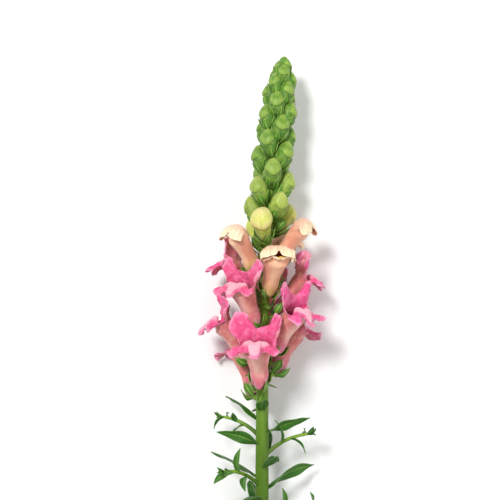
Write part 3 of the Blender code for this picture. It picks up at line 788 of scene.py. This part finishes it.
def add_bud(shape, bud, columns, rows, values):
    """A hooded bud: its upper lip closes over the lower along a soft seam."""
    shares = (np.linspace(0.02, 0.995, rows) ** 0.9)[:, None]
    turns = (np.arange(columns) * 2 * math.pi / columns)[None, :]
    local = bud_points(turns, shares, bud)
    normals = grid_normals(local, True)
    front = smooth(0.25, -0.75, np.sin(turns))
    edge = 0.56 + 0.1 * np.abs(np.cos(turns)) ** 2 + 0.025 * np.sin(3 * turns + bud["index"])
    hood = smooth(edge - 0.015, edge + 0.02, shares) * (1 - smooth(edge + 0.1, edge + 0.36, shares)) * front
    # The seam dents the surface, and the material darkens it as painted shade.
    seam = bump(shares, edge - 0.015, 0.028) * front
    cheeks = bump(shares, edge - 0.13, 0.1) * front * np.abs(np.cos(turns)) ** 0.5
    ribs = 0.02 * np.cos(5 * turns + bud["index"]) * bump(shares, 0.3, 0.3)
    lumps = noise_grid(local, 0.3, (bud["index"], 0, 0))
    depth = bud["width"] * (ribs + 0.06 * hood - 0.06 * seam + 0.03 * cheeks + 0.025 * lumps)
    local = local + normals * depth[..., None] * volume_sign(local, normals)
    # Painted shade: a darker band just under the hood's edge.
    shade = bump(shares, edge - 0.11, 0.08) * front
    values = {"reach": shares, "seam": seam, "hood": hood, "shade": shade, **values}
    shape.solid(lifted(placed(local, bud_frame(bud), 1.0)), values)


def volume_sign(local, normals):
    """1 where the normals point out of a form round its axis, and -1 where they point in."""
    centre = local.mean(axis=1, keepdims=True)
    return 1.0 if float(np.sum((local - centre) * normals)) > 0 else -1.0


def add_shoot(stalks, leaves, t, azimuth, length, draw, tone):
    """A side shoot from a leaf's armpit, with small leaves and a tuft at its end."""
    forward, _, _ = stem_frame(t)
    out = outward(t, azimuth)
    start = stem_point(t)
    points = []
    for step in range(5):
        share = step / 4
        angle = math.radians(mix(38, 62, share))
        points.append(tuple(start + (forward * math.cos(angle) + out * math.sin(angle)) * (length * share)))
    points = [Vector(p) for p in pressed(points, 0.0)]
    shares = np.linspace(0, 4, 25)
    rows = [(k, *points[k], SHOOT_RADII[k] * MM) for k in range(5)]
    centres = np.stack([curve(rows, column, shares) for column in (1, 2, 3)], axis=-1)
    radii = curve(rows, 4, shares)
    rings = lifted(tube_rings(centres, radii, 10))
    stalks.solid(rings, {"reach": shares[:, None] / 4, "tone": tone})
    across = forward.cross(out)
    for number, share in enumerate((0.45, 0.65, 0.85, 0.96)):
        spot = share * 4
        low = min(3, int(spot))
        root = points[low].lerp(points[low + 1], spot - low)
        heading = (points[low + 1] - points[low]).normalized()
        turn = math.radians(SPIRAL_STEP * number + azimuth)
        sideways = (across * math.cos(turn) + heading.cross(across) * math.sin(turn)).normalized()
        leaf_length = draw.uniform(11, 16) * MM * (1.1 - 0.35 * share)
        add_small_leaf(leaves, root, heading, sideways, leaf_length, (35, 70), tone)
    for number in range(4):
        turn = math.radians(90 * number + 40)
        heading = (points[4] - points[3]).normalized()
        sideways = (across * math.cos(turn) + heading.cross(across) * math.sin(turn)).normalized()
        add_small_leaf(leaves, points[4], heading, sideways, (5.5 - 0.6 * number) * MM, (12, 30), tone + 0.3)


def add_small_leaf(shape, root, heading, sideways, length, angles, tone):
    """A leaf that leaves its root along heading and turns sideways through the two angles."""
    across = heading.cross(sideways).normalized()
    rows, columns = 14, 8
    grid = np.zeros((rows + 1, columns + 1, 3))
    for j in range(rows + 1):
        share = j / rows
        angle = math.radians(mix(*angles, share))
        direction = heading * math.cos(angle) + sideways * math.sin(angle)
        width = length * max(0.36 * leaf_width(share), 0.1 * (1 - share) ** 4, 0.02)
        keel = heading * math.sin(angle) - sideways * math.cos(angle)
        spine = root + direction * (length * share)
        for i in range(columns + 1):
            offset = (i / columns - 0.5) * width
            curl = 0.1 * offset * math.sin(9 * share + 50 * tone)
            grid[j, i] = spine + across * offset + keel * (abs(offset) * 0.35 + curl)
    edge = np.abs(np.linspace(-1, 1, columns + 1))
    reach = np.linspace(0, 1, rows + 1)[:, None]
    shape.sheet(pressed(grid), THIN_LEAF, {"edge": edge, "reach": reach, "tone": tone})


def spread_tone(number):
    """A tone from 0 to 1 that differs well from one number to the next."""
    return (number * 0.618) % 1


def stem_leaves(draw):
    """The leaves on the stem below the flowers, spiralling as the flowers do."""
    leaves = []
    for number in range(LEAF_COUNT):
        share = number / (LEAF_COUNT - 1)
        t = mix(FIRST_LEAF, LAST_LEAF, share)
        azimuth = (40 + SPIRAL_STEP * number + 180) % 360 - 180
        length = mix(*LEAF_LENGTHS, share) * draw.uniform(0.9, 1.12)
        lean = draw.uniform(40, 52) + 14 * share
        curl = draw.uniform(18, 46)
        facts = blade(t, azimuth, lean, curl, length, length * LEAF_SLIMNESS)
        facts.update({"swing": draw.uniform(-0.35, 0.35), "wave": draw.uniform(-0.25, 0.25)})
        side = 1 if azimuth > 0 else -1
        facts["twist"] = side * draw.uniform(35, 75) * math.sin(math.radians(abs(azimuth)))
        facts["tone"] = spread_tone(number)
        leaves.append(facts)
    return leaves


def add_stem(shape):
    """The stem with its faint ridges, and the pale face of its cut end."""
    columns = 36
    turns = np.arange(columns) * 2 * math.pi / columns
    ts = np.linspace(0.0, STEM_LENGTH, 230)
    centres = [stem_point(t) for t in ts]
    radii = curve([(row[0] * STEM_LENGTH, row[1] * MM) for row in STEM_RADII], 1, ts)
    ridge = 1 + 0.025 * np.cos(5 * turns[None, :] + 30 * ts[:, None]) + 0.012 * np.cos(11 * turns[None, :])
    rings = tube_rings(centres, radii[:, None] * ridge, columns)
    face = rings[0]
    middle = face.mean(axis=0)
    inner_rows = np.array([mix(middle, face, s) for s in (0.15, 0.4, 0.62, 0.8, 0.93)])
    cut = np.concatenate([np.linspace(1.0, 0.6, 5), [0.5], np.zeros(len(ts) - 1)])
    reach = np.concatenate([np.zeros(5), ts / STEM_LENGTH])
    rings = lifted(np.concatenate([inner_rows, rings]))
    shape.solid(rings, {"cut": cut[:, None], "reach": reach[:, None], "tone": 0.5})


def add_hairs(shape, draw):
    """Short hairs on the stem between the flowers."""
    for _ in range(HAIR_COUNT):
        t = mix(FIRST_NODE - 12 * MM, STEM_LENGTH - 6 * MM, draw.random() ** 0.8)
        out = outward(t, draw.uniform(-180, 180))
        forward, _, _ = stem_frame(t)
        root = stem_point(t) + out * (stem_radius(t) * 0.96)
        tip = root + out * draw.uniform(0.5, 1.0) * MM + forward * draw.uniform(-0.2, 0.4) * MM
        side, ahead = out.cross(forward) * HAIR_RADIUS, forward * HAIR_RADIUS
        corners = (root + side, root - side * 0.5 + ahead, root - side * 0.5 - ahead, tip)
        first = shape.add_points([tuple(corner) for corner in corners], {"reach": (0, 0, 0, 1)})
        a, b, c, d = range(first, first + 4)
        faces = [(a, b, d), (b, c, d), (c, a, d), (a, c, b)]
        shape.add_faces(faces, [((0, 0), (1, 0), (0.5, 1))] * 4)


# Materials


def srgb(red, green, blue):
    """A colour given as eye values from 0 to 255."""
    made = []
    for value in (red, green, blue):
        value /= 255
        made.append(value / 12.92 if value <= 0.04045 else ((value + 0.055) / 1.055) ** 2.4)
    return (*made, 1.0)


class Paint:
    """A node material, with short calls for the nodes that it is made of."""

    def __init__(self, name, roughness=0.5, subsurface=0.0, sheen=0.0, gloss=0.35):
        self.material = bpy.data.materials.new(name)
        self.material.use_nodes = True
        self.tree = self.material.node_tree
        self.shader = self.tree.nodes["Principled BSDF"]
        constants = {
            "Roughness": roughness,
            "Subsurface Weight": subsurface,
            "Subsurface Scale": 1.2 * MM,
            "Subsurface Radius": (1.0, 0.5, 0.35),
            "Sheen Weight": sheen,
            "Specular IOR Level": gloss,
        }
        self.fill(self.shader, constants)

    def fill(self, node, inputs):
        """Gives each input of a node its constant, or its link from another node."""
        for socket, value in inputs.items():
            if isinstance(value, bpy.types.NodeSocket):
                self.tree.links.new(value, node.inputs[socket])
            else:
                node.inputs[socket].default_value = value

    def node(self, kind, inputs=None):
        """A new node with its inputs filled."""
        node = self.tree.nodes.new("ShaderNode" + kind)
        self.fill(node, inputs or {})
        return node

    def value(self, name):
        """A point value of the mesh."""
        node = self.node("Attribute")
        node.attribute_name = name
        return node.outputs["Fac"]

    def mix(self, share, a, b):
        node = self.node("Mix")
        node.data_type = "RGBA"
        self.fill(node, {0: share, 6: a, 7: b})
        return node.outputs[2]

    def layer(self, under, over, x, low, high, amount=1.0):
        """One colour over another, the more of it the further x is from low to high."""
        return self.mix(self.step(x, low, high, 0.0, amount), under, over)

    def step(self, x, low, high, to_low=0.0, to_high=1.0):
        """x between low and high, eased, as a share."""
        limits = {"From Min": low, "From Max": high, "To Min": to_low, "To Max": to_high}
        node = self.node("MapRange", {"Value": x, **limits})
        node.interpolation_type = "SMOOTHSTEP"
        return node.outputs["Result"]

    def math(self, kind, a, b=0.0):
        node = self.node("Math", {0: a, 1: b})
        node.operation = kind
        return node.outputs[0]

    def times(self, a, b):
        return self.math("MULTIPLY", a, b)

    def ramp(self, x, stops):
        """A colour along x, through (place, colour) stops with eye values from 0 to 255."""
        node = self.node("ValToRGB", {"Fac": x})
        elements = node.color_ramp.elements
        while len(elements) < len(stops):
            elements.new(0.5)
        for element, (place, colour) in zip(elements, stops):
            element.position = place
            element.color = srgb(*colour)
        return node.outputs["Color"]

    def noise(self, scale, detail, stretch=None):
        """Noise over the object in cells of 1/scale metres, or over its UV spots with a stretch."""
        place = self.node("TexCoord").outputs["UV" if stretch else "Object"]
        place = self.node("Mapping", {"Vector": place, "Scale": stretch or (1, 1, 1)}).outputs["Vector"]
        inputs = {"Vector": place, "Scale": scale, "Detail": detail, "Roughness": 0.55}
        return self.node("TexNoise", inputs).outputs["Fac"]

    def finish(self, colour, height=None, distance=0.15, strength=0.5, roughness=None):
        """The finished material; distance is the depth of its relief in mm."""
        inputs = {"Base Color": colour}
        if roughness is not None:
            inputs["Roughness"] = roughness
        if height is not None:
            relief = {"Strength": strength, "Distance": distance * MM, "Height": height}
            inputs["Normal"] = self.node("Bump", relief).outputs["Normal"]
        self.fill(self.shader, inputs)
        return self.material


def petal_paint(name, colours):
    """A corolla: its tube and the backs and faces of its lobes, with veins, palate, painted shade in the
    throat, a painted highlight on the tube and pale sac streaks that are partly painted highlight.
    """
    paint = Paint(name, 0.55, 0.18, 0.15)
    colours = {part: srgb(*colour) for part, colour in colours.items()}
    lip, tube, front = paint.value("lip"), paint.value("tube"), paint.value("front")
    patches = paint.noise(260, 3)
    veins = paint.step(paint.noise(1, 3, (46, 2.2, 1)), 0.46, 0.66)
    fine = paint.noise(1, 4, (150, 9, 1))

    back = paint.mix(paint.step(tube, 0.05, 0.6), colours["base"], colours["tube"])
    # Pale streaks at the sac: partly pale veins and partly painted highlight.
    pale = paint.step(paint.noise(1, 2, (22, 4, 1)), 0.46, 0.56)
    pale = paint.times(pale, paint.step(tube, 0.34, 0.1, 0.0, 0.85))
    back = paint.mix(pale, back, colours["pale"])
    # Painted highlight: the front of the tube is made paler along its midline.
    highlight_and_patches = paint.times(paint.step(front, 0.72, 1.0), paint.step(tube, 0.25, 0.6))
    back = paint.mix(paint.times(highlight_and_patches, 0.75), back, colours["highlight_and_patches"])
    back = paint.layer(back, colours["lobe_back"], lip, 0.05, 0.45)
    # The same pale colour, in random patches over the backs of the lobes.
    back = paint.layer(back, colours["highlight_and_patches"], patches, 0.45, 0.7, 0.4)
    back = paint.layer(back, colours["edge"], lip, 0.6, 1.0, 0.85)
    back = paint.mix(paint.times(veins, 0.35), back, colours["back_vein"])

    # Painted shade: the inner face darkens inside the tube and into the throat.
    face = paint.mix(paint.step(lip, 0.0, 0.3), colours["throat_shade"], colours["lobe"])
    face = paint.layer(face, colours["lobe_light"], patches, 0.42, 0.66, 0.55)
    vein_share = paint.times(veins, paint.step(lip, 1.0, 0.3, 0.15, 0.5))
    face = paint.mix(vein_share, face, colours["face_vein"])
    face = paint.layer(face, colours["edge"], lip, 0.86, 1.0, 0.6)
    face = paint.layer(face, colours["palate"], paint.value("palate"), 0.25, 0.8, 0.85)
    face = paint.layer(face, colours["spot"], paint.value("spot"), 0.3, 0.75)

    colour = paint.mix(paint.value("inner"), back, face)
    colour = paint.layer(colour, colours["lobe_light"], fine, 0.4, 0.7, 0.22)
    colour = paint.layer(colour, colours["tube"], paint.value("tone"), 0.0, 1.0, 0.16)
    height = paint.math("ADD", fine, paint.times(veins, 0.8))
    return paint.finish(colour, height, 0.22, 0.55, paint.step(patches, 0.3, 0.7, 0.5, 0.68))


PINK = {
    "base": (224, 104, 140),
    # the pale sac streaks, partly veins and partly painted highlight
    "pale": (250, 224, 222),
    "tube": (206, 116, 106),
    # pale colour of the painted highlight on the tube, also used for random patches
    "highlight_and_patches": (240, 200, 182),
    "lobe_back": (222, 128, 146),
    "back_vein": (184, 74, 96),
    # dark colour painted as shade inside the tube and throat
    "throat_shade": (166, 46, 78),
    "lobe": (216, 58, 124),
    "lobe_light": (238, 134, 178),
    "face_vein": (190, 34, 96),
    "edge": (246, 168, 200),
    "palate": (244, 184, 196),
    "spot": (240, 116, 48),
}
PEACH = {
    "base": (196, 178, 88),
    # the pale sac streaks, partly veins and partly painted highlight
    "pale": (222, 206, 140),
    "tube": (222, 150, 120),
    # pale colour of the painted highlight on the tube, also used for random patches
    "highlight_and_patches": (242, 206, 166),
    "lobe_back": (234, 184, 156),
    "back_vein": (206, 108, 100),
    # dark colour painted as shade inside the tube and throat
    "throat_shade": (198, 116, 80),
    "lobe": (230, 150, 136),
    "lobe_light": (244, 206, 180),
    "face_vein": (214, 108, 112),
    "edge": (250, 238, 196),
    "palate": (250, 218, 60),
    "spot": (244, 150, 40),
}


def bud_paint(name, low, middle, tip, vein, sheen=0.1):
    """A closed bud: greener and darker at its base, partly its own colour and partly painted shade, lighter
    to the tip, with fine veins along it and painted shade under its hood and in its seam.
    """
    paint = Paint(name, 0.45, 0.1, sheen, 0.28)
    reach = paint.value("reach")
    # Darker at the base: partly the bud's own green and partly painted shade where the calyx holds it.
    colour = paint.ramp(reach, ((0.0, low), (0.45, middle), (0.85, middle), (1.0, tip)))
    ripe = paint.ramp(reach, ((0.0, middle), (0.4, (176, 194, 78)), (1.0, (214, 214, 116))))
    low, tip, vein = srgb(*low), srgb(*tip), srgb(*vein)
    colour = paint.mix(paint.times(paint.value("ripe"), 0.8), colour, ripe)
    colour = paint.layer(colour, tip, paint.value("hood"), 0.1, 0.9, 0.6)
    # Painted shade: the band under the hood's edge takes the base colour.
    colour = paint.layer(colour, low, paint.value("shade"), 0.1, 1.0, 0.55)
    veins = paint.step(paint.noise(1, 3, (26, 1.6, 1)), 0.48, 0.66)
    patches = paint.noise(420, 3)
    colour = paint.mix(paint.times(veins, 0.45), colour, vein)
    colour = paint.layer(colour, tip, patches, 0.4, 0.7, 0.4)
    # Painted shade: the seam is darkened with the vein colour.
    colour = paint.layer(colour, vein, paint.value("seam"), 0.3, 1.0, 0.7)
    colour = paint.layer(colour, low, paint.value("tone"), 0.0, 1.0, 0.35)
    height = paint.math("ADD", patches, veins)
    return paint.finish(colour, height, 0.18, 0.5, paint.step(patches, 0.3, 0.7, 0.38, 0.55))


def leaf_paint(name, dark, light, under, rib):
    """A leaf: a pale midrib and side veins on the upper face, and a paler underside."""
    paint = Paint(name, 0.45, 0.05, 0.0, 0.22)
    dark, light, under, rib = (srgb(*colour) for colour in (dark, light, under, rib))
    edge, reach = paint.value("edge"), paint.value("reach")
    patches = paint.noise(160, 4)
    fine = paint.noise(900, 3)
    face = paint.mix(paint.step(patches, 0.35, 0.68), dark, light)
    face = paint.layer(face, light, paint.value("tone"), 0.0, 1.0, 0.6)
    slant = paint.math("SUBTRACT", paint.times(reach, VEIN_PITCH), paint.times(edge, VEIN_SLANT))
    lines = paint.step(paint.math("COSINE", slant), 0.82, 1.0)
    lines = paint.times(lines, paint.step(edge, 1.0, 0.5, 0.0, 0.4))
    face = paint.mix(lines, face, rib)
    face = paint.layer(face, rib, edge, 0.2, 0.02, 0.75)
    back = paint.mix(paint.step(edge, 0.24, 0.04, 0.0, 0.8), under, rib)
    colour = paint.mix(paint.value("inner"), back, face)
    colour = paint.layer(colour, dark, fine, 0.35, 0.7, 0.25)
    colour = paint.layer(colour, light, reach, 0.9, 1.0, 0.35)
    colour = paint.layer(colour, rib, edge, 0.88, 1.0, 0.55)
    height = paint.math("ADD", fine, paint.times(lines, -1.5))
    return paint.finish(colour, height, 0.15, 0.45, paint.step(patches, 0.3, 0.7, 0.36, 0.52))


def stem_paint(name):
    """The stem: yellow green with fine lengthwise lines, darker below, and a pale cut face."""
    paint = Paint(name, 0.45, 0.04, 0.0, 0.25)
    greens = ((0.0, (70, 98, 28)), (0.42, (84, 120, 28)), (0.62, (118, 154, 44)), (1.0, (132, 172, 56)))
    colour = paint.ramp(paint.value("reach"), greens)
    lines = paint.noise(1, 3, (34, 9, 1))
    patches = paint.noise(120, 3)
    colour = paint.layer(colour, srgb(70, 100, 34), lines, 0.42, 0.68, 0.5)
    colour = paint.layer(colour, srgb(140, 112, 62), patches, 0.55, 0.75, 0.3)
    rings = ((0.0, (96, 132, 44)), (0.55, (120, 140, 60)), (0.66, (206, 210, 158)), (1.0, (226, 224, 190)))
    cut = paint.ramp(paint.value("cut"), rings)
    colour = paint.layer(colour, cut, paint.value("cut"), 0.3, 0.5)
    return paint.finish(colour, lines, 0.2, 0.5, paint.step(patches, 0.3, 0.7, 0.36, 0.52))


def hair_paint(name):
    """Pale hairs, lighter at their tips."""
    paint = Paint(name, 0.35, 0.0, 0.2)
    colour = paint.mix(paint.value("reach"), srgb(150, 176, 96), srgb(222, 230, 196))
    return paint.finish(colour)


# The stage


def build_stage():
    """A plain pale floor, soft light from above and the camera looking down."""
    mesh = bpy.data.meshes.new("floor")
    half = FLOOR_SIZE / 2
    corners = [(-half, -half, 0), (half, -half, 0), (half, half, 0), (-half, half, 0)]
    mesh.from_pydata(corners, [], [(0, 1, 2, 3)])
    floor = bpy.data.objects.new("floor", mesh)
    bpy.context.scene.collection.objects.link(floor)
    paint = Paint("floor", 0.85)
    shade = paint.layer((0.86, 0.86, 0.855, 1), (0.88, 0.88, 0.875, 1), paint.noise(8, 2), 0.3, 0.7)
    mesh.materials.append(paint.finish(shade))

    world = bpy.data.worlds.new("studio")
    world.use_nodes = True
    sky = world.node_tree.nodes["Background"]
    sky.inputs["Color"].default_value = (1.0, 1.0, 1.0, 1.0)
    sky.inputs["Strength"].default_value = SKY_STRENGTH
    bpy.context.scene.world = world
    for name, place, size, power in LIGHTS:
        add_light(name, place, size, power)

    camera = bpy.data.objects.new("camera", bpy.data.cameras.new("camera"))
    bpy.context.scene.collection.objects.link(camera)
    camera.location = (*VIEW_CENTRE, VIEW_HEIGHT)
    camera.data.sensor_width = SENSOR_WIDTH
    camera.data.lens = SENSOR_WIDTH * (VIEW_HEIGHT - RACEME_HEIGHT) / VIEW_WIDTH
    camera.data.clip_end = 20
    bpy.context.scene.camera = camera
    bpy.context.scene.view_settings.view_transform = "Standard"
    bpy.context.scene.view_settings.look = "None"


def add_light(name, place, size, power):
    light = bpy.data.lights.new(name, "AREA")
    light.shape = "DISK"
    light.size = size
    light.energy = power
    obj = bpy.data.objects.new(name, light)
    bpy.context.scene.collection.objects.link(obj)
    obj.location = place
    obj.rotation_euler = (Vector(LIGHT_AIM) - Vector(place)).to_track_quat("-Z", "Y").to_euler()


def stand_for(obj, node):
    """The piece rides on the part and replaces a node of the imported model."""
    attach(obj, "root")
    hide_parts(node)


def build_green(blooms, closed_buds, green_buds, draw):
    """The stem and everything green that grows on it."""
    stem, pedicels, bracts, sepals = Shape(), Shape(), Shape(), Shape()
    buds, leaves, shoots, shoot_leaves, hairs = Shape(), Shape(), Shape(), Shape(), Shape()
    add_stem(stem)
    for bloom in blooms:
        frame = bloom_frame(bloom)
        tone = spread_tone(bloom["index"])
        add_pedicel(pedicels, bloom["t"], frame, 1.45, tone)
        add_calyx(sepals, frame, bloom["size"], corolla_seat, 0.7 * tone)
        add_blade(bracts, blade(bloom["t"] - 3.8 * MM, bloom["azimuth"], 92, 30, 10, 5, tone=tone), 8, 14)
    for bud in closed_buds:
        frame = bud_frame(bud)
        tone = spread_tone(bud["index"])
        add_pedicel(pedicels, bud["t"], frame, 1.3, tone)
        add_calyx(sepals, frame, 1.0, bud_seat(bud), 0.7 * tone)
        add_blade(bracts, blade(bud["t"] - 3.0 * MM, bud["azimuth"], 62, 16, 9.5, 5, tone=tone), 8, 14)
    for bud in green_buds:
        tone = spread_tone(bud["index"])
        frame = bud_frame(bud)
        rooted = [stem_point(bud["t"]), frame[0] + frame[3] * 0.08 * bud["length"] * MM]
        centres = [tuple(rooted[0].lerp(rooted[1], s)) for s in (0, 0.35, 0.7, 1.0)]
        width = bud["width"] * MM
        rings = tube_rings(centres, [share * width for share in (0.1, 0.13, 0.18, 0.22)], 10)
        pedicels.solid(rings, {"tone": tone, "reach": 0.5})
        ripe = float(smooth(52, 92, (STEM_LENGTH - bud["t"]) / MM))
        add_bud(buds, bud, 28, 26, {"tone": tone, "ripe": ripe})
        add_calyx(sepals, frame, 1.0, bud_seat(bud, 0.62), 0.7 * tone, (0.28, 0.2), 27, 4, 8)
        facts = blade(
            bud["t"] - 0.1 * bud["length"] * MM, bud["azimuth"], bud["lean"] + 34, -46,
            0.9 * bud["length"] + 1.0, 0.78 * bud["width"], tone=tone, fold=-0.5,
        )
        add_blade(bracts, facts, 8, 14)
    for facts in stem_leaves(draw):
        add_blade(leaves, facts, 16, 44, 0.55, 0.1)
    for number, (t, azimuth, length) in enumerate(SHOOTS):
        add_shoot(shoots, shoot_leaves, t * MM, azimuth, length * MM, draw, number / 5)
    add_hairs(hairs, random.Random(SEED + 1))

    stalk = stem_paint("stem_green")
    fresh = leaf_paint("calyx_green", (50, 92, 26), (94, 142, 44), (84, 132, 46), (166, 196, 92))
    deep = leaf_paint("leaf_green", (18, 58, 10), (44, 102, 20), (62, 112, 38), (112, 158, 62))
    bud_green = bud_paint("bud_green", (44, 84, 22), (86, 136, 38), (168, 194, 84), (48, 92, 26))
    for name, shape, material in (
        ("stem", stem, stalk),
        ("pedicels", pedicels, stalk),
        ("bracts", bracts, fresh),
        ("sepals", sepals, fresh),
        ("green_buds", buds, bud_green),
        ("leaves", leaves, deep),
        ("shoot_stalks", shoots, stalk),
        ("shoot_leaves", shoot_leaves, deep),
        ("stem_hairs", hairs, hair_paint("hair")),
    ):
        stand_for(shape.build(name, material), "leafy_stem")


def main():
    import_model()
    build_stage()
    draw = random.Random(SEED)
    blooms, closed_buds, green_buds = [], [], []
    for index, t, azimuth in raceme_nodes():
        if index < OPEN_BLOOMS + OPENING_BLOOMS:
            blooms.append(bloom_facts(index, t, azimuth, draw))
        elif index < OPEN_BLOOMS + OPENING_BLOOMS + CLOSED_COLOURED_BUDS:
            closed_buds.append(bud_facts(index, t, azimuth))
        else:
            green_buds.append(bud_facts(index, t, azimuth))

    build_green(blooms, closed_buds, green_buds, draw)
    pink, peach = petal_paint("petal_pink", PINK), petal_paint("petal_peach", PEACH)
    for bloom in blooms:
        local, values = corolla_grid(bloom)
        shape = Shape()
        thickness = mix(*PETAL_THICKNESSES, values["lip"])
        shape.sheet(placed(local, bloom_frame(bloom), bloom["size"]), thickness, values, wrap=True)
        number = f"{bloom['index'] + 1:02d}"
        is_pink = bloom["index"] < OPEN_BLOOMS
        obj = shape.build(f"corolla_{number}", pink if is_pink else peach)
        stand_for(obj, f"bloom_{number}")
    lime = bud_paint("bud_lime", (112, 148, 46), (188, 198, 82), (224, 206, 144), (142, 164, 60), 0.15)
    for bud in closed_buds:
        shape = Shape()
        add_bud(shape, bud, 44, 40, {"tone": 0.0})
        number = f"{bud['index'] + 1:02d}"
        stand_for(shape.build(f"bud_{number}", lime), f"closed_bud_{number}")


main()
